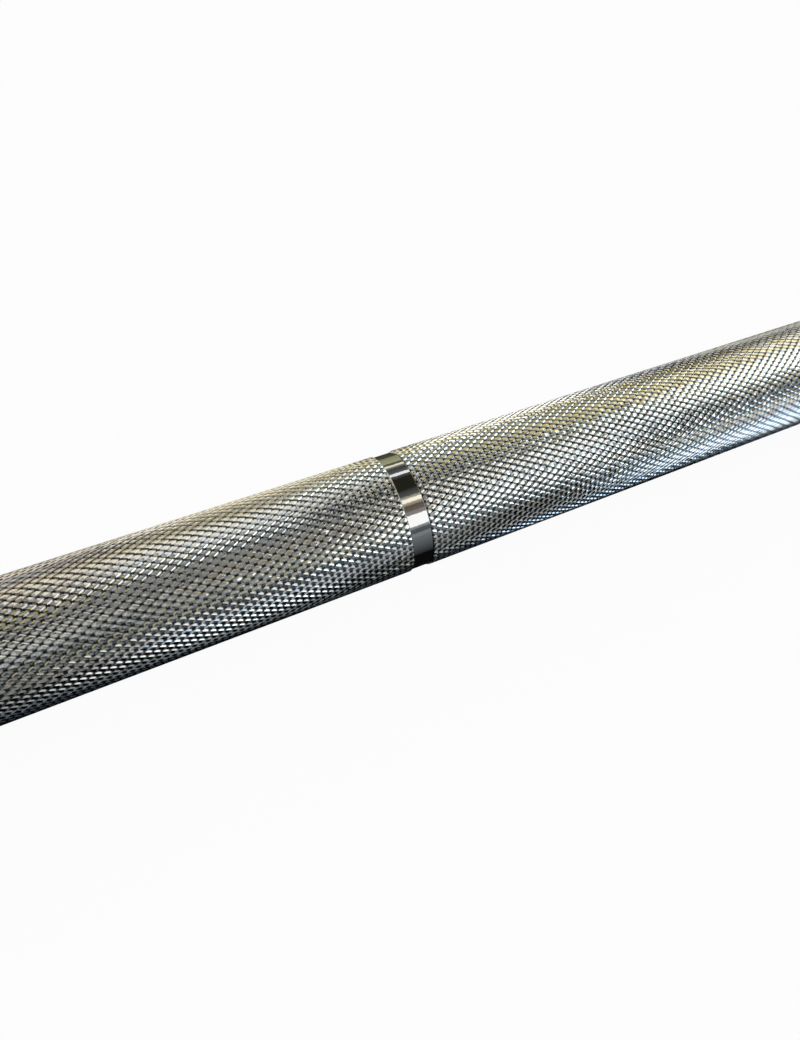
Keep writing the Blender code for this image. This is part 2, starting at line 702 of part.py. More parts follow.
def make_pad(name, stations, bar_radius, thickness, length, middle_runs):
    """A pad on a bar: a thin cover, open where the bar passes, and the foam core in it."""
    body_station, hole_station = stations
    foam_hole = clear_bore(bar_radius, TUBE_SIDES)
    hole = foam_hole + FACE_GAP
    outline = pad_outline(length, bar_radius, thickness, hole, middle_runs)
    lining = inset_outline(outline, COVER_THICKNESS)
    skin = [(body_station(run), radius) for run, radius in outline[1:-1]]
    skin_back = [(body_station(run), radius) for run, radius in reversed(lining)]
    near_lip = [(hole_station(run), hole) for run in (COVER_THICKNESS, 0)]
    far_lip = [(hole_station(run), hole) for run in (length, length - COVER_THICKNESS)]
    cover = lofted(f"{name}_cover", near_lip + skin + far_lip + skin_back, "leatherette")
    inset = COVER_THICKNESS + FACE_GAP
    core = [(body_station(run), radius) for run, radius in inset_outline(outline, inset)]
    bore_runs = [length - inset, *reversed(middle_runs), inset]
    bore = [(hole_station(run), foam_hole) for run in bore_runs]
    foam = lofted(f"{name}_foam", core + bore, "foam")
    return cover, foam


def make_shoulder_pad(side):
    """The pad round the arm's bend."""
    length = SHOULDER_PAD_END - SHOULDER_PAD_START
    bends = [run - SHOULDER_PAD_START for run in bend_runs()]

    def station(run):
        return arm_station(SHOULDER_PAD_START + run)

    name = f"shoulder_pad_{side}"
    return make_pad(name, (station, station), ARM_RADIUS, SHOULDER_PAD_THICKNESS, length, bends)


def make_neck_pad(bar_axis):
    """The pad behind the neck, thicker at its upper front than behind."""
    length = ARM_SPREAD - CLAMP_WIDTH - 2 * NECK_PAD_FROM_CLAMP
    along_bar = Matrix.Rotation(math.pi / 2, 4, "Y")

    def hole_station(run):
        return Matrix.Translation((run - length / 2, 0, 0)) @ along_bar

    def body_station(run):
        return Matrix.Translation((0, -NECK_PAD_FORWARD, NECK_PAD_UP)) @ hole_station(run)

    middle = [length * step / 4 for step in (1, 2, 3)]
    stations = (body_station, hole_station)
    carry(bar_axis, *make_pad("neck_pad", stations, SHAFT_RADIUS, NECK_PAD_THICKNESS, length, middle))


def make_yoke_side(side, sign):
    """One side of the yoke, in the frame of its clamp."""
    place = AXIS + Vector((sign * ARM_SPREAD / 2, 0, 0))
    frame = make_empty(f"yoke_frame_{side}", place, math.pi / 2 - RISE)
    carry(frame, *make_clamp_saddle(side), *make_clamp_cap(side), *make_clamp_screws(side))
    screw, arm_cutter, grip_cutter = make_grip_screw(side)
    arm = make_arm(side, arm_cutter)
    grip = make_grip(side, grip_cutter)
    carry(frame, screw, arm_cutter, grip_cutter, arm, grip, make_plug(side), *make_shoulder_pad(side))


def main():
    """Builds the whole bar."""
    clear_scene()
    bar_axis = make_empty("bar_axis", AXIS)
    carry(bar_axis, make_shaft())
    make_neck_pad(bar_axis)
    for side, sign in SIDES:
        make_sleeve_end(side, sign, bar_axis)
        make_yoke_side(side, sign)


main()
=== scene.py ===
"""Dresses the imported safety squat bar: fine shapes, worn finishes, a pale studio and the camera.

Metres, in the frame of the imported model. X runs along the bar, Z is up and the handles point to -Y.
"""

import logging
import math
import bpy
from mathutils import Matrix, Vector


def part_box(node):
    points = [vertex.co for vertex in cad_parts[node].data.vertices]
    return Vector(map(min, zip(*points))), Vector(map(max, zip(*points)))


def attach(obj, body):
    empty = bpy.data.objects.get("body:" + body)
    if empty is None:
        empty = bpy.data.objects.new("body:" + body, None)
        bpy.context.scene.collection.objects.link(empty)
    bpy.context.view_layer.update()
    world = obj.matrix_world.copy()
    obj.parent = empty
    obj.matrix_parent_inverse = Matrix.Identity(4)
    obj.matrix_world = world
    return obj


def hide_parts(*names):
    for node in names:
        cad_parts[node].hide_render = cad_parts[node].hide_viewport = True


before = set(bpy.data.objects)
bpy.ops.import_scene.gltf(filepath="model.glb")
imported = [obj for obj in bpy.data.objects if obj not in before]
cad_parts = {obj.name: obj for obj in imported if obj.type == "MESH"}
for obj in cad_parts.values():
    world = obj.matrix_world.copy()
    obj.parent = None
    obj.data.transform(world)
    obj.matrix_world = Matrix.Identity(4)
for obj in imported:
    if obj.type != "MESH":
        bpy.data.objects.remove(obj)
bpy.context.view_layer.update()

import zlib
from dataclasses import dataclass, field, replace
from enum import Enum
from typing import Callable, Iterable, Optional, Sequence, Union

import bmesh
import bpy
import numpy as np
from mathutils import Matrix, Vector, noise
from mathutils.bvhtree import BVHTree

LOG = logging.getLogger("squat_bar")
WORN_EDGE = "worn_edge"
FLAT_TOP = "flat_top"
CARD_GLOW = "card_glow"
MERGE = 1e-6
ON_PLANE = 1e-7
FULL_TURN = 360.0
HALF_TURN = math.pi
QUARTER_TURN = math.pi / 2

Profile = Sequence[tuple[float, float]]
Triple = tuple[float, float, float]
Shape = bmesh.types.BMesh
Socket = bpy.types.NodeSocket
Colour = Union[Triple, Socket]


class Side(Enum):
    """The two ends of the bar."""

    LEFT = -1
    RIGHT = 1

    @property
    def word(self) -> str:
        """The side's name as the nodes spell it."""
        return self.name.lower()


class Body(Enum):
    """The bodies that pieces ride on."""

    YOKE = "shaft_and_yoke"
    LEFT_SLEEVE = "left_sleeve"
    RIGHT_SLEEVE = "right_sleeve"

    @classmethod
    def sleeve(cls, side: Side) -> "Body":
        """The turning sleeve on a side."""
        return cls.LEFT_SLEEVE if side is Side.LEFT else cls.RIGHT_SLEEVE


class Slot(Enum):
    """The record's material slots."""

    CHROME = "chrome"
    SATIN = "satin_steel"
    BRONZE = "bronze"
    BLACK_STEEL = "black_steel"
    BLACK_COAT = "black_coat"
    LEATHERETTE = "leatherette"
    FOAM = "foam"
    RUBBER = "rubber"


class Tint(Enum):
    """The colours of the studio's reflection cards."""

    WHITE = (1.0, 1.0, 1.0)
    CREAM = (1.0, 0.96, 0.80)
    GOLD = (1.0, 0.86, 0.40)
    LEAF = (0.97, 1.0, 0.60)
    OLIVE = (0.98, 1.0, 0.66)
    BROWN = (1.0, 0.84, 0.64)
    MAUVE = (1.0, 0.90, 0.94)
    COOL = (0.84, 0.94, 1.0)
    ICE = (0.70, 0.88, 1.0)
    BLUE = (0.57, 0.76, 1.0)


class Value:
    """A number socket of a material, on which Python's operators add Math nodes."""

    def __init__(self, graph: "Graph", socket: Socket) -> None:
        """Wraps the socket of a node in this graph."""
        self.graph = graph
        self.socket = socket

    def __add__(self, other: "Number") -> "Value":
        """This value plus the other."""
        return self.graph.math("ADD", self, other)

    __radd__ = __add__

    def __sub__(self, other: "Number") -> "Value":
        """This value minus the other."""
        return self.graph.math("SUBTRACT", self, other)

    def __rsub__(self, other: "Number") -> "Value":
        """The other minus this value."""
        return self.graph.math("SUBTRACT", other, self)

    def __mul__(self, other: "Number") -> "Value":
        """This value times the other."""
        return self.graph.math("MULTIPLY", self, other)

    __rmul__ = __mul__

    def __truediv__(self, other: "Number") -> "Value":
        """This value divided by the other."""
        return self.graph.math("DIVIDE", self, other)

    def __rtruediv__(self, other: "Number") -> "Value":
        """The other divided by this value."""
        return self.graph.math("DIVIDE", other, self)

    def __pow__(self, other: "Number") -> "Value":
        """This value to the power of the other."""
        return self.graph.math("POWER", self, other)

    def __rpow__(self, other: "Number") -> "Value":
        """The other to the power of this value."""
        return self.graph.math("POWER", other, self)

    def rise(self, low: float, high: float) -> "Value":
        """A smooth step up from 0 to 1.

        Args:
            low: The value up to which it is 0.
            high: The value from which it is 1.

        Returns:
            The step.
        """
        settings = {"interpolation_type": "SMOOTHSTEP"}
        inputs = {"Value": self, "From Min": low, "From Max": high}
        made = self.graph.add("ShaderNodeMapRange", settings, inputs)
        return Value(self.graph, made.outputs["Result"])


Number = Union[Value, float]


class Graph:
    """The nodes of one material, or of the world."""

    def __init__(
        self, owner: Union[bpy.types.Material, bpy.types.World], output: str = "ShaderNodeOutputMaterial"
    ) -> None:
        """Empties a node tree and gives it an output.

        Args:
            owner: What the tree belongs to.
            output: The type of its output node.
        """
        owner.use_nodes = True
        self.tree = owner.node_tree
        self.tree.nodes.clear()
        self.output = self.tree.nodes.new(output)

    def add(
        self, kind: str, settings: Optional[dict] = None, inputs: Optional[dict] = None
    ) -> bpy.types.Node:
        """Adds one node.

        Args:
            kind: The node's type.
            settings: Its properties, which are set first.
            inputs: What its sockets hold or are linked to, by name or number.

        Returns:
            The node.
        """
        node = self.tree.nodes.new(kind)
        for key, value in (settings or {}).items():
            setattr(node, key, value)
        for key, value in (inputs or {}).items():
            self.feed(node.inputs[key], value)
        return node

    def feed(self, socket: Socket, value: object) -> None:
        """Links a socket to a value, or sets it to a constant.

        Args:
            socket: An input of a node.
            value: A value, a node's output, or a constant.
        """
        if isinstance(value, Value):
            value = value.socket
        if isinstance(value, Socket):
            self.tree.links.new(value, socket)
        else:
            socket.default_value = value

    def math(self, operation: str, first: Number, second: Number) -> Value:
        """A Math node on two values."""
        made = self.add("ShaderNodeMath", {"operation": operation}, {0: first, 1: second})
        return Value(self, made.outputs[0])

    def cosine(self, angle: Value) -> Value:
        """The cosine of an angle in radians."""
        return Value(self, self.add("ShaderNodeMath", {"operation": "COSINE"}, {0: angle}).outputs[0])

    def local(self, place: Matrix) -> Socket:
        """Object coordinates, in the frame of a piece.

        Args:
            place: Where that frame stands.

        Returns:
            The coordinates.
        """
        source = self.add("ShaderNodeTexCoord")
        back = place.inverted()
        inputs = {
            "Vector": source.outputs["Object"],
            "Location": back.to_translation(),
            "Rotation": back.to_euler(),
        }
        return self.add("ShaderNodeMapping", {"vector_type": "POINT"}, inputs).outputs["Vector"]

    def split(self, vector: Socket) -> tuple[Value, Value, Value]:
        """The three numbers of a vector."""
        made = self.add("ShaderNodeSeparateXYZ", inputs={0: vector})
        return tuple(Value(self, made.outputs[axis]) for axis in "XYZ")

    def join(self, x: Number, y: Number, z: Number) -> Socket:
        """A vector from three numbers."""
        return self.add("ShaderNodeCombineXYZ", inputs={0: x, 1: y, 2: z}).outputs[0]

    def stretch(self, vector: Socket, scale: Triple) -> Socket:
        """A vector with each of its numbers scaled."""
        made = self.add("ShaderNodeVectorMath", {"operation": "MULTIPLY"}, {0: vector, 1: scale})
        return made.outputs[0]

    def noise(self, vector: Socket, size: float, detail: float = 3.0, rough: float = 0.55) -> Value:
        """Soft noise whose features are about this size in metres, from 0 to 1."""
        inputs = {"Vector": vector, "Scale": 1 / size, "Detail": detail, "Roughness": rough}
        return Value(self, self.add("ShaderNodeTexNoise", inputs=inputs).outputs[0])

    def cells(self, vector: Socket, size: float, feature: str = "F1") -> Value:
        """The distance inside scattered cells.

        Args:
            vector: Where the surface is.
            size: About how large a cell is, in metres.
            feature: What the distance is measured from.

        Returns:
            The distance, in cells.
        """
        inputs = {"Vector": vector, "Scale": 1 / size}
        made = self.add("ShaderNodeTexVoronoi", {"feature": feature}, inputs)
        return Value(self, made.outputs["Distance"])

    def worn(self, vector: Socket, size: float = 0.0011) -> Value:
        """A thin ragged band along the piece's outward corners.

        Args:
            vector: Where the surface is.
            size: How large its rags are, in metres.

        Returns:
            1 in the band and 0 off it.
        """
        made = self.add("ShaderNodeAttribute", {"attribute_name": WORN_EDGE})
        edge = Value(self, made.outputs["Fac"])
        return (edge * 0.8 + self.noise(vector, size, 4.0) * 0.7).rise(0.98, 1.16)

    def blend(self, factor: Number, low: Colour, high: Colour) -> Socket:
        """A colour between two others.

        Args:
            factor: How much of the second there is.
            low: The first.
            high: The second.

        Returns:
            The colour.
        """
        ends = [end if isinstance(end, Socket) else (*end, 1.0) for end in (low, high)]
        inputs = {0: factor, 6: ends[0], 7: ends[1]}
        return self.add("ShaderNodeMix", {"data_type": "RGBA"}, inputs).outputs[2]

    def bump(self, height: Value, depth: float, under: Optional[Socket] = None) -> Socket:
        """A normal that makes the surface look uneven.

        Args:
            height: The height, from 0 to 1.
            depth: How deep that is, in metres.
            under: Another such normal, which this one lies over.

        Returns:
            The normal.
        """
        inputs = {"Strength": 1.0, "Distance": depth, "Height": height}
        if under is not None:
            inputs["Normal"] = under
        return self.add("ShaderNodeBump", inputs=inputs).outputs["Normal"]

    def principled(
        self,
        colour: Socket,
        rough: Value,
        normal: Socket,
        metal: float = 0.0,
        specular: float = 0.5,
        sheen: float = 0.0,
    ) -> None:
        """Ends the material in one Principled shader.

        Args:
            colour: Its base colour.
            rough: Its roughness.
            normal: Its normal.
            metal: 1 for a metal.
            specular: How strongly a skin that isn't metal mirrors.
            sheen: How much fuzz it has.
        """
        inputs = {"Base Color": colour, "Metallic": metal, "Roughness": rough, "Normal": normal}
        inputs.update({"Specular IOR Level": specular, "Sheen Weight": sheen})
        self.end(self.add("ShaderNodeBsdfPrincipled", inputs=inputs))

    def end(self, shader: bpy.types.Node) -> None:
        """Ends the tree in this shader."""
        self.tree.links.new(shader.outputs[0], self.output.inputs["Surface"])


@dataclass(frozen=True)
class Finish:
    """A finish, which paints a material in the frame of the piece that wears it."""

    name: str
    slot: Slot

    def material(self, place: Matrix) -> bpy.types.Material:
        """The material for a piece at this place, made once.

        Args:
            place: Where the piece's own frame stands, X along its axis.

        Returns:
            The material.
        """
        key = "_".join(str(round(1e4 * number)) for row in place for number in row)
        name = f"{self.name}_{zlib.crc32(key.encode()):08x}"
        found = bpy.data.materials.get(name)
        if found is not None:
            return found
        made = bpy.data.materials.new(name)
        graph = Graph(made)
        self.paint(graph, graph.local(place))
        return made

    def paint(self, graph: Graph, vector: Socket) -> None:
        """Adds the finish's nodes."""
        raise NotImplementedError


@dataclass(frozen=True)
class Chrome(Finish):
    """Bright plating on a turned surface, with cleaning smears and the rubs of use."""

    roughness: float = 0.045
    smear: float = 0.05
    rubbed: float = 0.0
    rub_level: float = 0.62
    peel: float = 0.0000025
    bright: Triple = (0.82, 0.82, 0.81)
    dulled: Triple = (0.66, 0.66, 0.65)

    def paint(self, graph: Graph, vector: Socket) -> None:
        """Fine turned lines, smears, and scratches along the piece.

        Args:
            graph: The material's nodes.
            vector: Where the surface is, in the piece's frame.
        """
        x = graph.split(vector)[0]
        turned = graph.noise(graph.join(x, 0.3, 0.7), 0.00028, 2.0)
        smear = graph.noise(vector, 0.03, 4.0).rise(0.42, 0.72)
        along = graph.noise(graph.stretch(vector, (0.02, 1.0, 1.0)), 0.0006, 2.0)
        scratch = along.rise(self.rub_level, self.rub_level + 0.06) * self.rubbed
        worn = graph.worn(vector)
        dull = smear * 0.35 + scratch * 0.6 + worn * 0.4
        rough = smear * self.smear + turned * 0.03 + scratch * 0.22 + worn * 0.12 + self.roughness
        graph.principled(
            colour=graph.blend(dull, self.bright, self.dulled),
            metal=1.0,
            rough=rough,
            normal=graph.bump(turned + scratch * 2.0, 0.0000012, self.skin(graph, vector)),
        )

    def skin(self, graph: Graph, vector: Socket) -> Socket:
        """The slight waves of plating, which fray what it mirrors."""
        return graph.bump(graph.noise(vector, 0.0007, 3.0), self.peel)


@dataclass(frozen=True)
class KnurledChrome(Finish):
    """Plated knurling: polished flats, duller grooves darkened with painted shade, and a near-black
    painted shadow where two grooves cross.
    """

    crest: float
    depth: float
    starts: int
    pitch: float
    flat: Triple = (0.86, 0.86, 0.84)
    # Painted shade: the groove colour is darker than the flats' for the shade in the grooves, and the
    # colour below it is a near-black painted shadow where two grooves cross.
    groove: Triple = (0.74, 0.74, 0.72)
    pit: Triple = (0.03, 0.03, 0.03)
    dirt: Triple = (0.16, 0.15, 0.13)

    def paint(self, graph: Graph, vector: Socket) -> None:
        """Paints shade by the depth below the crest, and a near-black painted shadow by how near two
        grooves cross.

        Args:
            graph: The material's nodes.
            vector: Where the surface is, in the frame of the knurl.
        """
        x, y, z = graph.split(vector)
        radius = (y * y + z * z) ** 0.5
        # How deep the surface lies below the crest. It masks the painted groove shade, the dirt and the
        # roughness.
        sunk = ((self.crest - radius) / self.depth).rise(0.10, 0.80)
        run = x * (math.pi / self.pitch)
        turn = graph.math("ARCTAN2", y, z) * (self.starts / 2)
        both = graph.cosine(run + turn) * graph.cosine(run - turn)
        # Mask of the painted shadow where two grooves cross.
        pit = (both * both).rise(0.22, 0.70)
        dust = sunk * graph.noise(vector, 0.012, 4.0).rise(0.45, 0.75)
        grain = graph.noise(vector, 0.00035, 3.0)
        patch = graph.noise(vector, 0.02, 3.0).rise(0.45, 0.7)
        # Painted shade: grooves darker than the flats, and near black where two grooves cross.
        clean = graph.blend(sunk, self.flat, graph.blend(pit, self.groove, self.pit))
        graph.principled(
            colour=graph.blend(dust * 0.45, clean, self.dirt),
            metal=1.0,
            rough=grain * 0.06 + sunk * 0.10 + patch * 0.03 + dust * 0.12 + 0.07,
            normal=graph.bump(grain, 0.000004),
        )


@dataclass(frozen=True)
class SatinSteel(Finish):
    """Bare steel faced on a lathe, with its fine rings."""

    clean: Triple = (0.60, 0.60, 0.60)
    stained: Triple = (0.42, 0.41, 0.40)

    def paint(self, graph: Graph, vector: Socket) -> None:
        """Rings round the axis, over slight stains.

        Args:
            graph: The material's nodes.
            vector: Where the surface is, in the piece's frame.
        """
        x, y, z = graph.split(vector)
        radius = (y * y + z * z) ** 0.5
        rings = graph.noise(graph.join(radius, x, 0.2), 0.00022, 2.0)
        stain = graph.noise(vector, 0.008, 4.0).rise(0.4, 0.75)
        worn = graph.worn(vector)
        graph.principled(
            colour=graph.blend(stain * 0.5, self.clean, self.stained),
            metal=1.0,
            rough=rings * 0.18 + stain * 0.12 - worn * 0.08 + 0.22,
            normal=graph.bump(rings, 0.000012),
        )


@dataclass(frozen=True)
class Bronze(Finish):
    """Sintered bearing bronze, finely pored and damp with oil."""

    dry: Triple = (0.62, 0.43, 0.20)
    oiled: Triple = (0.46, 0.30, 0.13)
    pore: Triple = (0.12, 0.08, 0.04)

    def paint(self, graph: Graph, vector: Socket) -> None:
        """Dark pores in a warm metal.

        Args:
            graph: The material's nodes.
            vector: Where the surface is, in the piece's frame.
        """
        pores = 1 - graph.cells(vector, 0.00045).rise(0.10, 0.32)
        oil = graph.noise(vector, 0.009, 3.0).rise(0.4, 0.7)
        tone = graph.blend(oil, self.dry, self.oiled)
        graph.principled(
            colour=graph.blend(pores * 0.8, tone, self.pore),
            metal=1.0,
            rough=pores * 0.3 - oil * 0.12 + 0.4,
            normal=graph.bump(1 - pores, 0.00003),
        )


@dataclass(frozen=True)
class BlackSteel(Finish):
    """Black oxide on machined steel, rubbed bright at its corners."""

    grain: float = 0.0005
    dry: Triple = (0.055, 0.055, 0.060)
    oiled: Triple = (0.036, 0.036, 0.040)
    bare: Triple = (0.38, 0.38, 0.39)

    def paint(self, graph: Graph, vector: Socket) -> None:
        """A dark skin with worn corners and a little oil.

        Args:
            graph: The material's nodes.
            vector: Where the surface is, in the piece's frame.
        """
        grain = graph.noise(vector, self.grain, 4.0)
        oil = graph.noise(vector, 0.014, 3.0).rise(0.4, 0.7)
        worn = graph.worn(vector)
        skin = graph.blend(oil, self.dry, self.oiled)
        graph.principled(
            colour=graph.blend(worn * 0.42, skin, self.bare),
            metal=1.0,
            rough=grain * 0.16 - oil * 0.08 - worn * 0.1 + 0.36,
            normal=graph.bump(grain, 0.00002),
        )


@dataclass(frozen=True)
class BlackCoat(Finish):
    """Black powder coat with its fine orange peel."""

    clean: Triple = (0.019, 0.019, 0.020)
    dusty: Triple = (0.055, 0.054, 0.052)

    def paint(self, graph: Graph, vector: Socket) -> None:
        """Orange peel, a few rubs and faint dust.

        Args:
            graph: The material's nodes.
            vector: Where the surface is, in the piece's frame.
        """
        peel = graph.noise(vector, 0.0014, 2.0)
        fine = graph.noise(vector, 0.0003, 3.0)
        dust = graph.noise(vector, 0.02, 5.0).rise(0.5, 0.8)
        worn = graph.worn(vector)
        graph.principled(
            colour=graph.blend(dust * 0.5 + worn * 0.3, self.clean, self.dusty),
            rough=peel * 0.14 + dust * 0.12 + 0.32,
            specular=0.55,
            normal=graph.bump(fine, 0.000012, graph.bump(peel, 0.00009)),
        )


@dataclass(frozen=True)
class Leatherette(Finish):
    """Embossed vinyl: pebbled grain, creases between the pebbles, a dull sheen."""

    pebble: float = 0.0013
    valley: Triple = (0.009, 0.009, 0.0095)
    skin: Triple = (0.020, 0.020, 0.021)
    polished: Triple = (0.030, 0.0295, 0.029)

    def paint(self, graph: Graph, vector: Socket) -> None:
        """Pebbles of two sizes with their valleys, and polish where hands rub.

        Args:
            graph: The material's nodes.
            vector: Where the surface is, in the piece's frame.
        """
        swirl = graph.noise(vector, 0.004, 2.0)
        x, y, z = graph.split(vector)
        bent = graph.join(x + swirl * 0.0009, y + swirl * 0.0007, z - swirl * 0.0008)
        pebbles = graph.cells(bent, self.pebble, "DISTANCE_TO_EDGE").rise(0.02, 0.42)
        small = graph.cells(bent, self.pebble * 0.45, "DISTANCE_TO_EDGE").rise(0.0, 0.4)
        rubbed = graph.noise(vector, 0.035, 3.0).rise(0.4, 0.7)
        tone = graph.blend(rubbed, self.skin, self.polished)
        graph.principled(
            colour=graph.blend(pebbles, self.valley, tone),
            rough=0.62 - pebbles * 0.12 - rubbed * 0.10,
            sheen=0.06,
            normal=graph.bump(small, 0.00005, graph.bump(pebbles, 0.00016)),
        )


@dataclass(frozen=True)
class Thread(Finish):
    """Twisted polyester sewing thread."""

    shade: Triple = (0.055, 0.055, 0.057)
    light: Triple = (0.16, 0.16, 0.16)

    def paint(self, graph: Graph, vector: Socket) -> None:
        """Fine strands in dark grey.

        Args:
            graph: The material's nodes.
            vector: Where the surface is, in the piece's frame.
        """
        strand = graph.noise(vector, 0.00018, 2.0)
        graph.principled(
            colour=graph.blend(strand, self.shade, self.light),
            rough=strand * 0.2 + 0.55,
            sheen=0.2,
            normal=graph.bump(strand, 0.00006),
        )


@dataclass(frozen=True)
class Foam(Finish):
    """Grey upholstery foam with open pores."""

    pore: Triple = (0.20, 0.20, 0.19)
    wall: Triple = (0.40, 0.40, 0.38)

    def paint(self, graph: Graph, vector: Socket) -> None:
        """Pores of two sizes.

        Args:
            graph: The material's nodes.
            vector: Where the surface is, in the piece's frame.
        """
        pores = graph.cells(vector, 0.0016).rise(0.1, 0.6)
        tiny = graph.noise(vector, 0.0005, 3.0)
        graph.principled(
            colour=graph.blend(pores, self.pore, self.wall),
            rough=tiny * 0.1 + 0.85,
            normal=graph.bump(pores + tiny * 0.4, 0.0003),
        )


@dataclass(frozen=True)
class Rubber(Finish):
    """Moulded black rubber, scuffed where it stands on the floor."""

    clean: Triple = (0.018, 0.018, 0.018)
    scuffed: Triple = (0.075, 0.072, 0.068)

    def paint(self, graph: Graph, vector: Socket) -> None:
        """A matt skin with scuffs and dust.

        Args:
            graph: The material's nodes.
            vector: Where the surface is, in the piece's frame.
        """
        skin = graph.noise(vector, 0.0006, 4.0)
        scuff = graph.noise(graph.stretch(vector, (1.0, 0.3, 1.0)), 0.0022, 4.0).rise(0.56, 0.72)
        dust = graph.noise(vector, 0.012, 3.0).rise(0.45, 0.75)
        dull = scuff * 0.5 + dust * 0.35 + graph.worn(vector) * 0.3
        graph.principled(
            colour=graph.blend(dull, self.clean, self.scuffed),
            rough=skin * 0.1 + dull * 0.12 + 0.58,
            specular=0.4,
            normal=graph.bump(skin + scuff * 0.5, 0.00005),
        )


CHROME = Chrome("bright_chrome", Slot.CHROME)
RING_CHROME = Chrome("ring_chrome", Slot.CHROME, roughness=0.03, smear=0.02, peel=0.000006)
SLEEVE_CHROME = Chrome("sleeve_chrome", Slot.CHROME, roughness=0.07, smear=0.08, rubbed=1.0)
SATIN = SatinSteel("faced_steel", Slot.SATIN)
BRONZE = Bronze("bearing_bronze", Slot.BRONZE)
OXIDE = BlackSteel("black_oxide", Slot.BLACK_STEEL)
POWDER = BlackCoat("powder_coat", Slot.BLACK_COAT)
VINYL = Leatherette("pebbled_vinyl", Slot.LEATHERETTE)
THREAD = Thread("sewing_thread", Slot.LEATHERETTE)
FOAM = Foam("pad_foam", Slot.FOAM)
RUBBER = Rubber("moulded_rubber", Slot.RUBBER)


def shifted(x: float, y: float, z: float) -> Matrix:
    """A move, as a matrix."""
    return Matrix.Translation((x, y, z))


def turned_about(axis: str, angle: float) -> Matrix:
    """A turn about a main axis, as a matrix."""
    return Matrix.Rotation(angle, 4, axis)


def bar_place() -> Matrix:
    """The frame on the bar's own axis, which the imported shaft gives."""
    low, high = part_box("shaft")
    return Matrix.Translation((low + high) / 2)


def as_mesh(obj: bpy.types.Object, name: str) -> bpy.types.Mesh:
    """Applies an object's modifiers and removes the object.

    Args:
        obj: The object.
        name: The name of the mesh.

    Returns:
        A new mesh of what the object showed.
    """
    bpy.context.view_layer.update()
    seen = obj.evaluated_get(bpy.context.evaluated_depsgraph_get())
    made = bpy.data.meshes.new_from_object(seen)
    made.name = name
    bpy.data.objects.remove(obj)
    return made


def baked(name: str, bm: Shape) -> bpy.types.Mesh:
    """Keeps a shape as a mesh.

    Args:
        name: The name of the mesh.
        bm: The shape, which this frees.

    Returns:
        The mesh.
    """
    mesh = bpy.data.meshes.new(name)
    bm.to_mesh(mesh)
    bm.free()
    return mesh


def take_in(bm: Shape, other: Shape) -> None:
    """Adds one shape to another as it is.

    Args:
        bm: The shape that grows.
        other: What is added, which this frees.
    """
    mesh = baked("added", other)
    bm.from_mesh(mesh)
    bpy.data.meshes.remove(mesh)


def scratch_object(name: str, bm: Shape) -> bpy.types.Object:
    """A passing object.

    Args:
        name: The name of the object and of its mesh.
        bm: Its shape, which this frees.

    Returns:
        The object, in the scene.
    """
    obj = bpy.data.objects.new(name, baked(name, bm))
    bpy.context.scene.collection.objects.link(obj)
    return obj


def cleaned(bm: Shape) -> Shape:
    """Merges doubles and turns the faces outwards.

    Args:
        bm: The shape.

    Returns:
        The same shape.
    """
    bmesh.ops.remove_doubles(bm, verts=bm.verts, dist=MERGE)
    bmesh.ops.recalc_face_normals(bm, faces=bm.faces)
    return bm


def sweep(bm: Shape, axis: Triple, steps: int, degrees: float = FULL_TURN) -> None:
    """Spins all there is of a section about an axis through the origin.

    Args:
        bm: The section.
        axis: The axis.
        steps: The steps round.
        degrees: How far it goes.
    """
    bmesh.ops.spin(
        bm,
        geom=list(bm.verts) + list(bm.edges),
        cent=(0, 0, 0),
        axis=axis,
        angle=math.radians(degrees),
        steps=steps,
        use_merge=degrees == FULL_TURN,
    )


def cut_off(bm: Shape, point: Triple, outward: Triple) -> None:
    """Cuts away all that lies past a plane and leaves the cut open.

    Args:
        bm: The shape.
        point: A point of the plane.
        outward: The plane's normal, to the side that goes.
    """
    bmesh.ops.bisect_plane(
        bm,
        geom=list(bm.verts) + list(bm.edges) + list(bm.faces),
        dist=ON_PLANE,
        plane_co=point,
        plane_no=outward,
        clear_outer=True,
    )


def combined(bm: Shape, others: Iterable[tuple[Shape, str]], soften: float = 0.0) -> Shape:
    """Joins shapes to a closed one or cuts them out of it.

    Args:
        bm: The shape that stays.
        others: The other closed shapes, each with UNION or DIFFERENCE.
        soften: The width of the rounding that the sharp edges then get.

    Returns:
        The result. All the shapes handed in are freed.
    """
    piece = scratch_object("blank", cleaned(bm))
    tools = []
    for other, operation in others:
        tools.append(scratch_object("cutter", cleaned(other)))
        modifier = piece.modifiers.new(operation, "BOOLEAN")
        modifier.operation = operation
        modifier.solver = "EXACT"
        modifier.object = tools[-1]
    if soften:
        piece.modifiers.new("tidy", "WELD").merge_threshold = soften / 6
        modifier = piece.modifiers.new("soften", "BEVEL")
        modifier.width = soften
        modifier.segments = 3
        modifier.limit_method = "ANGLE"
        modifier.angle_limit = math.radians(40)
        modifier.use_clamp_overlap = False
        modifier.miter_outer = "MITER_ARC"
    mesh = as_mesh(piece, "combined")
    for tool in tools:
        bpy.data.objects.remove(tool)
    result = bmesh.new()
    result.from_mesh(mesh)
    bpy.data.meshes.remove(mesh)
    return result


def extruded(bm: Shape, edges: list[bmesh.types.BMEdge], move: Matrix) -> list[bmesh.types.BMEdge]:
    """Draws a ring of edges out and moves the new ring.

    Args:
        bm: The mesh.
        edges: The ring.
        move: What is done to the new ring.

    Returns:
        The new ring's edges.
    """
    made = bmesh.ops.extrude_edge_only(bm, edges=edges)["geom"]
    verts = [item for item in made if isinstance(item, bmesh.types.BMVert)]
    bmesh.ops.transform(bm, verts=verts, matrix=move)
    return [item for item in made if isinstance(item, bmesh.types.BMEdge)]


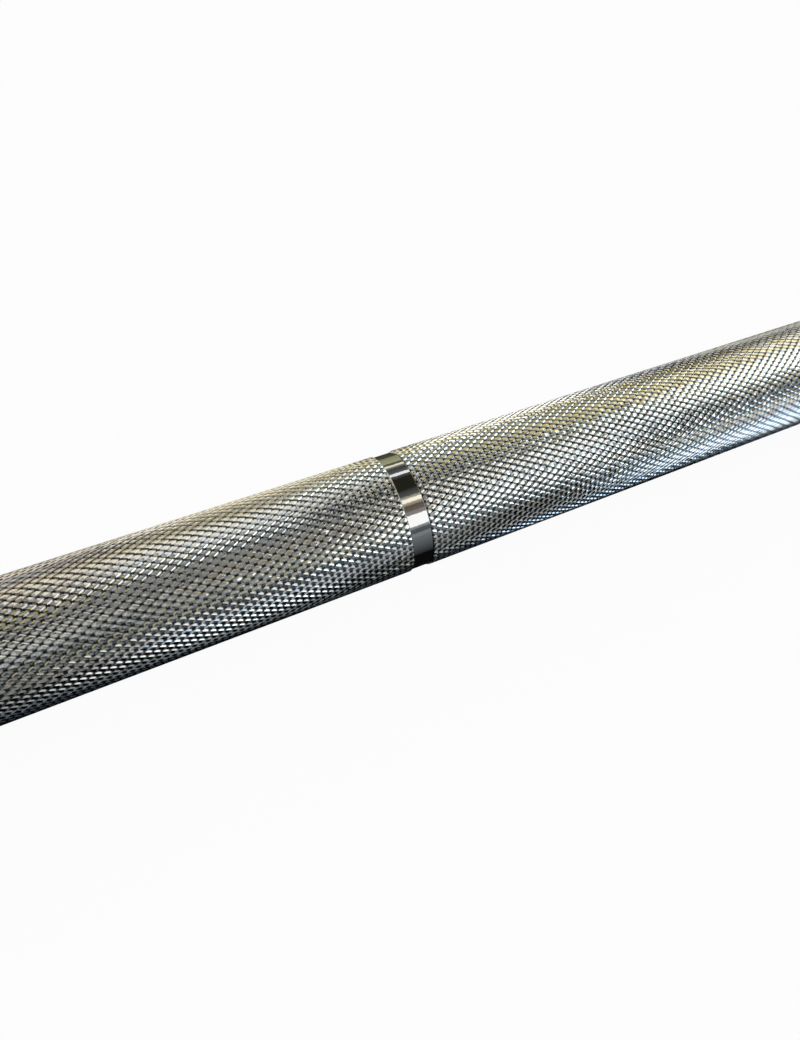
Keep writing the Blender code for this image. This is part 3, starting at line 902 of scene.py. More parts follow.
def lathe(
    profile: Profile,
    sides: int = 128,
    soften: float = 0.0004,
    degrees: float = FULL_TURN,
    start: float = 0.0,
    steps: int = 3,
) -> Shape:
    """Turns a profile about the X axis, with its corners rounded.

    Args:
        profile: The section as (x, radius), a closed loop, or open where both ends are on the axis.
        sides: The steps round.
        soften: How far from a corner its rounding starts.
        degrees: How far round the profile goes.
        start: Where it starts, as an angle about X.
        steps: The faces of a rounding.

    Returns:
        The closed shape.
    """
    bm = bmesh.new()
    solid = profile[0][1] == 0 and profile[-1][1] == 0
    verts = [bm.verts.new((x, 0, radius)) for x, radius in profile]
    pairs = list(zip(verts, verts[1:]))
    if not solid:
        pairs.append((verts[-1], verts[0]))
    for pair in pairs:
        bm.edges.new(pair)
    corners = [vert for vert in verts if vert.co.z > 0]
    if soften:
        bmesh.ops.bevel(
            bm,
            geom=corners,
            offset=soften,
            offset_type="OFFSET",
            segments=steps,
            profile=0.5,
            affect="VERTICES",
            material=-1,
            clamp_overlap=True,
        )
    rim = len(bm.verts)
    sweep(bm, (1, 0, 0), sides, degrees)
    if degrees != FULL_TURN:
        bmesh.ops.holes_fill(bm, edges=bm.edges, sides=rim)
    bmesh.ops.rotate(bm, verts=bm.verts, cent=(0, 0, 0), matrix=Matrix.Rotation(start, 3, "X"))
    return cleaned(bm)


def tube(start: float, end: float, inner: float, outer: float) -> Profile:
    """The profile of a plain tube."""
    return [(start, inner), (start, outer), (end, outer), (end, inner)]


def mark_worn_edges(bm: Shape) -> None:
    """Notes on each point how far it stands on an outward corner, from 0 to 1, for the wear.

    Args:
        bm: The closed shape.
    """
    low, high = math.radians(8), math.radians(15)
    layer = bm.verts.layers.float.new(WORN_EDGE)
    bm.normal_update()
    for vert in bm.verts:
        faces = vert.link_faces
        if not faces or any((face.calc_center_median() - vert.co).dot(vert.normal) > 0 for face in faces):
            continue
        turn = min(vert.normal.angle(face.normal, 0.0) for face in faces)
        vert[layer] = min(1.0, max(0.0, (turn - low) / (high - low)))


def read_rows(items: bpy.types.bpy_prop_collection, name: str) -> np.ndarray:
    """Reads a vector of each item of a mesh.

    Args:
        items: The items.
        name: The vector's name.

    Returns:
        A row of three numbers for each.
    """
    found = np.zeros(len(items) * 3, np.float32)
    items.foreach_get(name, found)
    return found.reshape(-1, 3)


def read_numbers(items: bpy.types.bpy_prop_collection, name: str) -> np.ndarray:
    """Reads a whole number of each item of a mesh.

    Args:
        items: The items.
        name: The number's name.

    Returns:
        The numbers.
    """
    found = np.zeros(len(items), np.int32)
    items.foreach_get(name, found)
    return found


@dataclass
class Assembly:
    """Pieces that ride on one body and stand in one frame."""

    body: Body
    place: Matrix

    def deliver(
        self,
        name: str,
        bm: Shape,
        finish: Finish,
        nodes: Sequence[str],
        stand: Optional[Matrix] = None,
        worn: bool = True,
    ) -> bpy.types.Object:
        """Makes a shape a finished piece.

        Args:
            name: The piece's name.
            bm: Its shape, which this frees.
            finish: What it is finished in.
            nodes: The CAD nodes that it stands for.
            stand: Where the shape stands in this assembly's frame, X along its own axis.
            worn: Whether its corners are marked for wear.

        Returns:
            The piece.
        """
        where = self.place @ (stand or Matrix.Identity(4))
        if worn:
            mark_worn_edges(bm)
        bmesh.ops.transform(bm, verts=bm.verts, matrix=where)
        return self.deliver_mesh(name, baked(name, bm), finish, nodes, where)

    def deliver_mesh(
        self,
        name: str,
        mesh: bpy.types.Mesh,
        finish: Finish,
        nodes: Sequence[str],
        where: Matrix,
        weigh: bool = True,
    ) -> bpy.types.Object:
        """Makes a mesh a finished piece.

        Args:
            name: The piece's name.
            mesh: Its mesh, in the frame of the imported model.
            finish: What it is finished in.
            nodes: The CAD nodes that it stands for.
            where: The frame that its finish follows.
            weigh: Whether large faces keep their own normals beside small ones.

        Returns:
            The piece.
        """
        mesh.name = name
        mesh.materials.clear()
        mesh.materials.append(finish.material(where))
        obj = bpy.data.objects.new(f"{name}_fine", mesh)
        bpy.context.scene.collection.objects.link(obj)
        if weigh:
            mesh.shade_smooth()
            mesh.set_sharp_from_angle(angle=math.radians(35))
            modifier = obj.modifiers.new("even_shading", "WEIGHTED_NORMAL")
            modifier.keep_sharp = True
            modifier.weight = 90
        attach(obj, self.body.value)
        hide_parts(*nodes)
        LOG.info("%s: %d faces", name, len(mesh.polygons))
        return obj


@dataclass(frozen=True)
class Knurl:
    """A diamond knurl of two groove families at thirty degrees to the axis."""

    crest: float = 0.0144
    starts: int = 55
    pitch: float = 0.00282
    depth: float = 0.00024
    flat_share: float = 0.60
    dome: float = math.radians(11)
    lean: float = 0.045

    @property
    def finish(self) -> KnurledChrome:
        """The plated finish for this size of knurl."""
        name = f"knurled_chrome_{self.starts}"
        return KnurledChrome(name, Slot.CHROME, self.crest, self.depth, self.starts, self.pitch)

    def stretch(self, start: float, end: float, bore: float) -> Shape:
        """A knurled length with square ends.

        Args:
            start: Where it starts along X.
            end: Where it ends.
            bore: The radius of the hole through it, or 0 for a solid bar.

        Returns:
            The closed shape. Its flats carry the attribute flat_top.
        """
        first = math.floor(start / self.pitch) * self.pitch
        rows = math.ceil(2 * (end - first) / self.pitch) + self.starts + 3
        bm = bmesh.new()
        bmesh.ops.create_grid(bm, x_segments=self.starts, y_segments=rows, size=1)
        bmesh.ops.scale(bm, verts=bm.verts, vec=(self.starts / 2, rows / 2, 1))
        bmesh.ops.translate(bm, verts=bm.verts, vec=(self.starts / 2, rows / 2 - self.starts - 1, 0))
        layer = bm.faces.layers.int.new(FLAT_TOP)
        cells = list(bm.faces)
        inset = (1 - self.flat_share) / 2
        bmesh.ops.inset_individual(
            bm, faces=cells, thickness=inset, depth=self.depth, use_even_offset=True
        )
        for face in bm.faces:
            face[layer] = 0
        for cell in cells:
            cell[layer] = 1
        floor = self.crest - self.depth
        for vert in bm.verts:
            u, v, height = vert.co
            angle = (u - v) * math.pi / self.starts
            run, radius = first + (u + v) * self.pitch / 2, floor + height
            vert.co = (run, radius * math.sin(angle), radius * math.cos(angle))
        bmesh.ops.remove_doubles(bm, verts=bm.verts, dist=MERGE)
        for cut, outward in ((start, -1), (end, 1)):
            cut_off(bm, (cut, 0, 0), (outward, 0, 0))
        self.close(bm, bore)
        bmesh.ops.recalc_face_normals(bm, faces=bm.faces)
        return bm

    def close(self, bm: Shape, bore: float) -> None:
        """Closes the two cut ends, flat or in to a bore.

        Args:
            bm: The open knurled shell.
            bore: The radius of the hole through it, or 0 for flat ends.
        """
        rims = [edge for edge in bm.edges if edge.is_boundary]
        if not bore:
            bmesh.ops.holes_fill(bm, edges=rims, sides=len(rims))
            return
        made = bmesh.ops.extrude_edge_only(bm, edges=rims)["geom"]
        for vert in (item for item in made if isinstance(item, bmesh.types.BMVert)):
            vert.co.yz *= bore / vert.co.yz.length
        bmesh.ops.bridge_loops(bm, edges=[item for item in made if isinstance(item, bmesh.types.BMEdge)])

    def round_flats(self, mesh: bpy.types.Mesh, where: Matrix) -> None:
        """Shades each flat as a slightly domed and leaning part of the round bar, the walls as planes.

        Args:
            mesh: The knurled mesh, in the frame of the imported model.
            where: The frame on its axis.
        """
        mesh.shade_smooth()
        counts = read_numbers(mesh.polygons, "loop_total")
        flat = read_numbers(mesh.attributes[FLAT_TOP].data, "value")
        owner = np.repeat(np.arange(len(counts)), counts)
        shading = read_rows(mesh.polygons, "normal")[owner]
        axis_point = np.array(where.to_translation())
        along = np.array(where.col[0][:3])
        corner = read_rows(mesh.vertices, "co")[read_numbers(mesh.loops, "vertex_index")]
        out = corner - axis_point
        out -= np.outer(out @ along, along)
        sums = [np.bincount(owner, corner[:, axis]) for axis in range(3)]
        middle = np.column_stack(sums) / counts[:, None]
        apart = corner - middle[owner]
        for sideways in (out, apart):
            sideways /= np.linalg.norm(sideways, axis=1)[:, None]
        leaning = np.random.default_rng(self.starts).normal(0, self.lean, (len(counts), 3))
        domed = out + math.tan(self.dome) * apart + leaning[owner]
        on_flat = flat[owner] == 1
        shading[on_flat] = domed[on_flat]
        mesh.normals_split_custom_set(shading)


@dataclass
class Shaft(Assembly):
    """The solid bar, from one retaining ring groove to the other."""

    radius: float = 0.01425
    mark_radius: float = 0.0141
    mark_x: float = 0.405
    mark_width: float = 0.0051
    knurl_start: float = 0.185
    knurl_end: float = 0.646
    shoulder: float = 0.660
    journal: float = 0.0127
    end: float = 1.080
    end_chamfer: float = 0.001
    groove_start: float = 1.0729
    groove_end: float = 1.0753
    groove_radius: float = 0.0115
    knurl: Knurl = field(default_factory=Knurl)

    def build(self) -> None:
        """The plain middle, and each half's knurls, ring mark and end."""
        middle = [(-self.knurl_start, 0), (-self.knurl_start, self.radius)]
        middle += [(self.knurl_start, self.radius), (self.knurl_start, 0)]
        self.deliver("shaft_middle", lathe(middle, sides=144, soften=0.0002), CHROME, ["shaft"])
        near = self.mark_x - self.mark_width / 2
        far = self.mark_x + self.mark_width / 2
        for side in Side:
            self.knurled(f"shaft_knurl_inner_{side.word}", side, self.knurl_start, near)
            self.knurled(f"shaft_knurl_outer_{side.word}", side, far, self.knurl_end)
            self.ring_mark(side, near, far)
            self.bar_end(side)

    def knurled(self, name: str, side: Side, start: float, end: float) -> None:
        """One knurled length of the bar.

        Args:
            name: The piece's name.
            side: Which half it is on.
            start: Where it starts, from the middle.
            end: Where it ends.
        """
        low, high = sorted((side.value * start, side.value * end))
        bm = self.knurl.stretch(low, high, 0)
        bmesh.ops.transform(bm, verts=bm.verts, matrix=self.place)
        mesh = baked(name, bm)
        self.knurl.round_flats(mesh, self.place)
        self.deliver_mesh(name, mesh, self.knurl.finish, ["shaft"], self.place, weigh=False)

    def ring_mark(self, side: Side, near: float, far: float) -> None:
        """The smooth polished band between two knurled lengths.

        Args:
            side: Which half it is on.
            near: Its inner edge, from the middle.
            far: Its outer edge.
        """
        profile = [(near, 0), (near, self.mark_radius), (far, self.mark_radius), (far, 0)]
        profile = [(side.value * x, radius) for x, radius in profile]
        bm = lathe(profile, sides=192, soften=0.00022)
        self.deliver(f"shaft_mark_{side.word}", bm, RING_CHROME, ["shaft"])

    def bar_end(self, side: Side) -> None:
        """The plain length under the collar and the journal that the sleeve turns on.

        Args:
            side: Which end it is.
        """
        profile = [
            (self.knurl_end, 0),
            (self.knurl_end, self.radius),
            (self.shoulder, self.radius),
            (self.shoulder, self.journal),
            (self.groove_start, self.journal),
            (self.groove_start, self.groove_radius),
            (self.groove_end, self.groove_radius),
            (self.groove_end, self.journal),
            (self.end - self.end_chamfer, self.journal),
            (self.end, self.journal - self.end_chamfer),
            (self.end, 0),
        ]
        profile = [(side.value * x, radius) for x, radius in profile]
        self.deliver(f"shaft_end_{side.word}", lathe(profile, soften=0.0002), CHROME, ["shaft"])


@dataclass
class SleeveEnd(Assembly):
    """One turning sleeve, and the washers and ring that the shaft keeps."""

    side: Side = Side.RIGHT
    collar_face: float = 0.655
    tube_start: float = 0.6603
    bar_end: float = 1.100
    radius: float = 0.025
    bore: float = 0.0183
    land: float = 0.0170
    cap_seat: float = 0.020275
    cap_groove: float = 0.021615
    cap_radius: float = 0.019975
    cap_start: float = 1.088
    cap_end: float = 1.093
    ring_start: float = 1.0933
    ring_end: float = 1.0947
    collar_bore: float = 0.0147
    collar_socket: float = 0.02552
    hub_radius: float = 0.032
    collar_radius: float = 0.03866
    collar_end: float = 0.685
    cone_start: float = 0.666
    cone_end: float = 0.671
    rim_line: float = 0.678
    face_line: Triple = (0.0352, 0.0345, 0.0338)
    line_depth: float = 0.0007
    socket_floor: float = 0.660
    dish_rim: float = 0.0162
    dish_floor: float = 0.0155
    dish_depth: float = 0.0009
    centre_hole: float = 0.0022
    centre_depth: float = 0.0026
    bushing_bore: float = 0.01315
    bushing_radius: float = 0.018
    bushing_length: float = 0.040
    inner_bushing: float = 0.6626
    inner_seat: float = 0.7029
    outer_bushing: float = 1.0306
    outer_seat: float = 1.0303
    washer_radius: float = 0.0175
    washer_width: float = 0.002
    inner_washer: float = 0.6603
    outer_washer: float = 1.0709
    play: float = 0.0003
    ring_width: float = 0.002376
    ring_gap: float = 36.0
    ring_clear: float = 0.00048
    shaft_ring_run: tuple[float, float] = (1.0732, 1.0750)
    shaft_ring_radii: tuple[float, float] = (0.0118, 0.0140)
    eye_bore: float = 0.0009
    eye_radius: float = 0.0024
    eye_inset: float = 0.0026

    def turned(
        self, name: str, profile: Profile, finish: Finish, soften: float = 0.0004, **facts: float
    ) -> None:
        """Delivers one turned piece of this end.

        Args:
            name: The node's name without its side.
            profile: Its section, for the right end.
            finish: What it is finished in.
            soften: The rounding of its corners.
            facts: What else the lathe is told.
        """
        node = f"{name}_{self.side.word}"
        mirrored = [(self.side.value * x, radius) for x, radius in profile]
        self.deliver(node, lathe(mirrored, soften=soften, **facts), finish, [node])

    def build(self) -> None:
        """The pieces that turn with the sleeve."""
        groove_end = self.ring_end + self.play
        cap_stop = self.cap_start - self.play
        self.turned(
            "sleeve_tube",
            [
                (self.tube_start, self.bore),
                (self.tube_start, self.radius),
                (self.bar_end, self.radius),
                (self.bar_end, self.cap_seat),
                (groove_end, self.cap_seat),
                (groove_end, self.cap_groove),
                (self.cap_end, self.cap_groove),
                (self.cap_end, self.cap_seat),
                (cap_stop, self.cap_seat),
                (cap_stop, self.bore),
                (self.outer_seat, self.bore),
                (self.outer_seat, self.land),
                (self.inner_seat, self.land),
                (self.inner_seat, self.bore),
            ],
            SLEEVE_CHROME,
            soften=0.0006,
            sides=160,
        )
        self.collar()
        self.end_cap()
        self.snap_ring()
        for name, start in (("inner_bushing", self.inner_bushing), ("outer_bushing", self.outer_bushing)):
            section = tube(start, start + self.bushing_length, self.bushing_bore, self.bushing_radius)
            self.turned(name, section, BRONZE, soften=0.0005, sides=96)

    def collar(self) -> None:
        """The flange that plates stop against, with a turned line on its rim and face."""
        rim, face, line = self.rim_line, self.collar_end, self.line_depth
        line_outer, line_floor, line_inner = self.face_line
        self.turned(
            "sleeve_collar",
            [
                (self.collar_face, self.collar_bore),
                (self.collar_face, self.hub_radius),
                (self.cone_start, self.hub_radius),
                (self.cone_end, self.collar_radius),
                (rim - line, self.collar_radius),
                (rim, self.collar_radius - line),
                (rim + line, self.collar_radius),
                (face, self.collar_radius),
                (face, line_outer),
                (face - line, line_floor),
                (face, line_inner),
                (face, self.collar_socket),
                (self.socket_floor, self.collar_socket),
                (self.socket_floor, self.collar_bore),
            ],
            CHROME,
            soften=0.0007,
            sides=160,
        )

    def end_cap(self) -> None:
        """The disc that closes the sleeve, with a dished face and a centre hole."""
        face = self.cap_end
        self.turned(
            "end_cap",
            [
                (self.cap_start, 0),
                (self.cap_start, self.cap_radius),
                (face, self.cap_radius),
                (face, self.dish_rim),
                (face - self.dish_depth, self.dish_floor),
                (face - self.dish_depth, self.centre_hole),
                (face - self.centre_depth, 0),
            ],
            SATIN,
            soften=0.0003,
        )

    def snap_ring(self) -> None:
        """The open ring in the sleeve's groove, with an eye at each end for the pliers."""
        name = f"end_cap_ring_{self.side.word}"
        outer = self.cap_groove - self.ring_clear
        inner = outer - self.ring_width
        start, end = self.side.value * self.ring_start, self.side.value * self.ring_end
        half_gap = math.radians(self.ring_gap / 2)
        bm = lathe(tube(start, end, inner, outer), 120, 0.00015, FULL_TURN - self.ring_gap, half_gap)
        for turn in (half_gap, -half_gap):
            eyelet = lathe(tube(start, end, self.eye_bore, self.eye_radius), 28, 0.00015)
            lift = turned_about("X", turn) @ shifted(0, 0, outer - self.eye_inset)
            bmesh.ops.transform(eyelet, verts=eyelet.verts, matrix=lift)
            take_in(bm, eyelet)
        self.deliver(name, bm, OXIDE, [name])

    def build_kept(self) -> None:
        """The pieces that stay with the shaft."""
        washers = (("inner_thrust_washer", self.inner_washer), ("outer_thrust_washer", self.outer_washer))
        for name, start in washers:
            section = tube(start, start + self.washer_width, self.bushing_bore, self.washer_radius)
            self.turned(name, section, BRONZE, soften=0.0002, sides=96)
        open_ring = {"degrees": FULL_TURN - self.ring_gap, "start": math.radians(self.ring_gap / 2)}
        section = tube(*self.shaft_ring_run, *self.shaft_ring_radii)
        self.turned("shaft_ring", section, OXIDE, soften=0.0002, sides=80, **open_ring)


@dataclass(frozen=True)
class SocketScrew:
    """A screw with a hexagon socket. Its head's face is at z = 0 and looks to -Z."""

    head_radius: float
    head_height: float
    key_radius: float
    key_depth: float
    shank_radius: float
    length: float
    round_share: float = 0.12
    ribbed: bool = True
    rib_share: float = 0.972
    knee_out: float = 0.72
    knee_down: float = 0.35
    rib_start: float = 0.12
    sides: int = 48

    def build(self) -> Shape:
        """The head with its socket, and the shank.

        Returns:
            The closed screw.
        """
        bm = bmesh.new()
        edge = self.head_radius * (1 - self.round_share)
        drop = self.head_radius * self.round_share
        bmesh.ops.create_circle(bm, cap_ends=False, radius=edge, segments=self.sides)
        outer = list(bm.edges)
        bmesh.ops.create_circle(bm, cap_ends=False, radius=self.key_radius, segments=6)
        inner = [ring for ring in bm.edges if ring not in outer]
        bmesh.ops.bridge_loops(bm, edges=outer + inner)
        floor = extruded(bm, inner, shifted(0, 0, self.key_depth))
        bmesh.ops.holes_fill(bm, edges=floor, sides=6)
        grow = Matrix.Diagonal((self.head_radius / edge, self.head_radius / edge, 1, 1))
        half = Matrix.Diagonal((1 + self.knee_out * (self.head_radius / edge - 1),) * 2 + (1, 1))
        ring = extruded(bm, outer, shifted(0, 0, self.knee_down * drop) @ half)
        ring = extruded(bm, ring, shifted(0, 0, (1 - self.knee_down) * drop) @ grow @ half.inverted())
        shoulder = self.head_height - drop
        ring = extruded(bm, ring, shifted(0, 0, self.rib_start * shoulder))
        ring = extruded(bm, ring, shifted(0, 0, (1 - self.rib_start) * shoulder))
        if self.ribbed:
            self.rib(bm, drop)
        narrow = self.shank_radius / self.head_radius
        ring = extruded(bm, ring, Matrix.Diagonal((narrow, narrow, 1, 1)))
        ring = extruded(bm, ring, shifted(0, 0, self.length))
        bmesh.ops.holes_fill(bm, edges=ring, sides=self.sides)
        return cleaned(bm)

    def rib(self, bm: Shape, drop: float) -> None:
        """Draws every second point of the head's side in, for its ribs.

        Args:
            bm: The screw so far.
            drop: Where the side starts.
        """
        for vert in bm.verts:
            step = round(math.atan2(vert.co.y, vert.co.x) * self.sides / math.tau)
            low_enough = vert.co.z > drop * 1.05 and vert.co.xy.length > self.head_radius * 0.95
            if low_enough and step % 2:
                vert.co.xy *= self.rib_share


CLAMP_SCREW = SocketScrew(
    head_radius=0.0065,
    head_height=0.008,
    key_radius=0.0029,
    key_depth=0.004,
    shank_radius=0.004,
    length=0.0265,
)
GRIP_SCREW = SocketScrew(
    head_radius=0.0052,
    head_height=0.0028,
    key_radius=0.0019,
    key_depth=0.0016,
    shank_radius=0.003,
    length=0.0053,
    round_share=0.3,
    ribbed=False,
)


@dataclass
class ArmPath:
    """The line of a yoke arm in its clamp's frame: straight up Z, then a bend, then straight."""

    straight: float = 0.070
    bend_radius: float = 0.140
    bend: float = math.radians(62)

    @property
    def bend_end(self) -> float:
        """Where the bend ends, as a length along the arm."""
        return self.straight + self.bend_radius * self.bend

    def station(self, run: float) -> Matrix:
        """The frame at a length along the arm.

        Args:
            run: The length.

        Returns:
            The frame, its Z axis along the arm.
        """
        turn = min(max(run - self.straight, 0.0) / self.bend_radius, self.bend)
        before = min(run, self.straight)
        centre = Vector((0, -self.bend_radius, self.straight))
        around = Matrix.Translation(centre) @ turned_about("X", turn) @ Matrix.Translation(-centre)
        past = max(0.0, run - self.bend_end)
        return around @ shifted(0, 0, before + past)

    def bent(self, points: np.ndarray) -> np.ndarray:
        """Bends points of a straight piece round the arm.

        Args:
            points: Rows of x, y and the length along the arm.

        Returns:
            The rows in the clamp's frame.
        """
        x, y, run = points.T
        turn = np.clip((run - self.straight) / self.bend_radius, 0, self.bend)
        past = np.minimum(run - self.straight, 0) + np.maximum(run - self.bend_end, 0)
        out = self.bend_radius + y
        bent_y = out * np.cos(turn) - self.bend_radius - past * np.sin(turn)
        bent_z = self.straight + out * np.sin(turn) + past * np.cos(turn)
        return np.column_stack((x, bent_y, bent_z))


@dataclass
class Yoke(Assembly):
    """One side of the yoke: clamp, arm, handle and their screws, in the clamp's frame."""

    side: Side = Side.RIGHT
    path: ArmPath = field(default_factory=ArmPath)
    width: float = 0.044
    split: float = 0.002
    bore: float = 0.01467
    clamp_radius: float = 0.033
    boss_radius: float = 0.020
    boss_start: float = 0.0187
    boss_end: float = 0.046
    socket_floor: float = 0.031
    arm_radius: float = 0.0143
    arm_wall: float = 0.003
    gap: float = 0.0003
    screw_across: float = 0.012
    screw_around: float = 0.0225
    seat_radius: float = 0.0068
    seat_z: float = -0.0105
    screw_drop: float = 0.0083
    below_clamp: float = -0.05
    grip_start: float = 0.2575
    arm_end: float = 0.42224
    grip_radius: float = 0.017
    grip_screw_in: float = 0.012
    grip_screw_out: float = 0.0176
    grip_hole: float = 0.0055
    land: float = 0.0242
    last_land: float = 0.0050
    plug_length: float = 0.008

    def build(self) -> None:
        """Every piece of this side but its pad."""
        self.saddle()
        self.weld()
        self.cap()
        self.screws()
        self.arm()
        self.grip()
        self.grip_screw()
        self.plug()

    def half_ring(self, upper: bool) -> Shape:
        """Half of the clamp's ring round the shaft.

        Args:
            upper: True for the half on the arm's side of the split.

        Returns:
            The closed half.
        """
        half = self.width / 2
        bm = lathe(tube(-half, half, self.bore, self.clamp_radius), 160, 0.0012)
        sign = 1 if upper else -1
        cut_off(bm, (0, 0, sign * self.split / 2), (0, 0, -sign))
        bmesh.ops.holes_fill(bm, edges=[edge for edge in bm.edges if edge.is_boundary], sides=80)
        return bm

    def upright(self, profile: Profile, soften: float = 0.0005, sides: int = 96) -> Shape:
        """A piece turned about this frame's Z axis.

        Args:
            profile: Its section as (z, radius).
            soften: The rounding of its corners.
            sides: The steps round.

        Returns:
            The closed piece.
        """
        bm = lathe(profile, sides, soften)
        bmesh.ops.transform(bm, verts=bm.verts, matrix=turned_about("Y", -QUARTER_TURN))
        return bm

    def saddle(self) -> None:
        """The clamp half with the arm's socket."""
        boss = [(self.boss_start, 0), (self.boss_start, self.boss_radius)]
        boss += [(self.boss_end, self.boss_radius), (self.boss_end, 0)]
        reach, mouth, past = self.arm_radius + self.gap, 0.0009, 0.01
        socket = [
            (self.socket_floor, 0),
            (self.socket_floor, reach),
            (self.boss_end - mouth, reach),
            (self.boss_end + past, reach + mouth + past),
            (self.boss_end + past, 0),
        ]
        parts = ((self.upright(boss, 0.0012), "UNION"), (self.upright(socket, 0), "DIFFERENCE"))
        name = f"clamp_saddle_{self.side.word}"
        self.deliver(name, combined(self.half_ring(True), parts, 0.0004), OXIDE, [name])

    def weld(self) -> None:
        """The rippled bead where the socket's boss meets the clamp."""
        ripples, bead = 54, 0.0021
        bm = bmesh.new()
        stand = shifted(self.boss_radius, 0, 0) @ turned_about("X", QUARTER_TURN)
        bmesh.ops.create_circle(bm, cap_ends=False, radius=bead, segments=12, matrix=stand)
        sweep(bm, (0, 0, 1), 6 * ripples)
        for vert in bm.verts:
            angle = math.atan2(vert.co.y, vert.co.x)
            lie = Vector((math.cos(angle), math.sin(angle), 0)) * self.boss_radius
            swell = 1 + 0.06 * abs(math.sin(ripples * angle / 2)) + 0.05 * math.sin(5 * angle)
            across = (vert.co - lie) * swell
            saddle = math.sqrt(self.clamp_radius**2 - min(lie.y**2, 0.99 * self.clamp_radius**2))
            vert.co = lie + across + Vector((0, 0, saddle))
        name = f"clamp_weld_{self.side.word}"
        self.deliver(name, cleaned(bm), OXIDE, [f"clamp_saddle_{self.side.word}"], worn=False)

    def screw_places(self) -> list[tuple[float, float]]:
        """Where the clamp's screws cross the split, in the order of their numbers."""
        return [(x * self.screw_across, y * self.screw_around) for x in (-1, 1) for y in (-1, 1)]

    def cap(self) -> None:
        """The clamp half below, with a seat for each screw's head."""
        seats = []
        profile = [(self.below_clamp, 0), (self.below_clamp, self.seat_radius)]
        profile += [(self.seat_z, self.seat_radius), (self.seat_z, 0)]
        for x, y in self.screw_places():
            seat = self.upright(profile, 0, 48)
            bmesh.ops.translate(seat, verts=seat.verts, vec=(x, y, 0))
            seats.append((seat, "DIFFERENCE"))
        name = f"clamp_cap_{self.side.word}"
        self.deliver(name, combined(self.half_ring(False), seats, 0.0004), OXIDE, [name])

    def screws(self) -> None:
        """The four socket screws."""
        for number, (x, y) in enumerate(self.screw_places(), start=1):
            name = f"clamp_screw_{self.side.word}_{number}"
            stand = shifted(x, y, self.seat_z - self.screw_drop)
            self.deliver(name, CLAMP_SCREW.build(), OXIDE, [name], stand)

    def arm(self) -> None:
        """The bent tube from the socket to the handle's end."""
        start = self.socket_floor + self.gap
        bm = bmesh.new()
        bmesh.ops.create_circle(
            bm, cap_ends=False, radius=self.arm_radius, segments=72, matrix=shifted(0, 0, start)
        )
        ring = extruded(bm, list(bm.edges), shifted(0, 0, self.path.straight - start))
        verts = list({vert for edge in ring for vert in edge.verts})
        made = bmesh.ops.spin(
            bm,
            geom=verts + ring,
            cent=(0, -self.path.bend_radius, self.path.straight),
            axis=(1, 0, 0),
            angle=self.path.bend,
            steps=36,
        )["geom_last"]
        last = [item for item in made if isinstance(item, bmesh.types.BMEdge)]
        here, there = self.path.station(self.path.bend_end), self.path.station(self.arm_end)
        extruded(bm, last, Matrix.Translation(there.to_translation() - here.to_translation()))
        cleaned(bm)
        bmesh.ops.solidify(bm, geom=list(bm.faces), thickness=self.arm_wall)
        name = f"yoke_arm_{self.side.word}"
        self.deliver(name, bm, POWDER, [name])

    def grip_place(self) -> Matrix:
        """The frame at the grip's start, X along the handle."""
        return self.path.station(self.grip_start) @ turned_about("Y", -QUARTER_TURN)

    def grip(self) -> None:
        """The knurled tube with its two smooth lands."""
        node = f"handle_grip_{self.side.word}"
        length = self.arm_end - self.grip_start
        inner = self.arm_radius + self.gap
        knurl = Knurl(crest=self.grip_radius, starts=66)
        smooth = self.grip_radius - knurl.depth * 0.6
        where = self.place @ self.grip_place()
        middle = knurl.stretch(self.land, length - self.last_land, inner)
        bmesh.ops.transform(middle, verts=middle.verts, matrix=where)
        mesh = baked(node, middle)
        knurl.round_flats(mesh, where)
        self.deliver_mesh(node, mesh, knurl.finish, [node], where, weigh=False)
        far = 0.04
        hole = lathe([(0, 0), (0, self.grip_hole), (far, self.grip_hole), (far, 0)], 48, 0)
        screw = self.grip_place().inverted() @ self.screw_frame() @ turned_about("Y", -QUARTER_TURN)
        bmesh.ops.transform(hole, verts=hole.verts, matrix=screw)
        first = combined(lathe(tube(0, self.land, inner, smooth), 128, 0.0009), [(hole, "DIFFERENCE")])
        self.deliver(f"handle_land_{self.side.word}", first, CHROME, [node], self.grip_place())
        second = lathe(tube(length - self.last_land, length, inner, smooth), 128, 0.0007)
        self.deliver(f"handle_rim_{self.side.word}", second, CHROME, [node], self.grip_place())

    def screw_frame(self) -> Matrix:
        """The frame of the grip's screw, Z pointing out of the handle's underside."""
        along = self.grip_start + self.grip_screw_in
        return self.path.station(along) @ turned_about("X", QUARTER_TURN)

    def grip_screw(self) -> None:
        """The button head screw that keeps the grip from turning."""
        name = f"grip_screw_{self.side.word}"
        stand = self.screw_frame() @ shifted(0, 0, self.grip_screw_out) @ turned_about("X", HALF_TURN)
        self.deliver(name, GRIP_SCREW.build(), OXIDE, [name], stand)

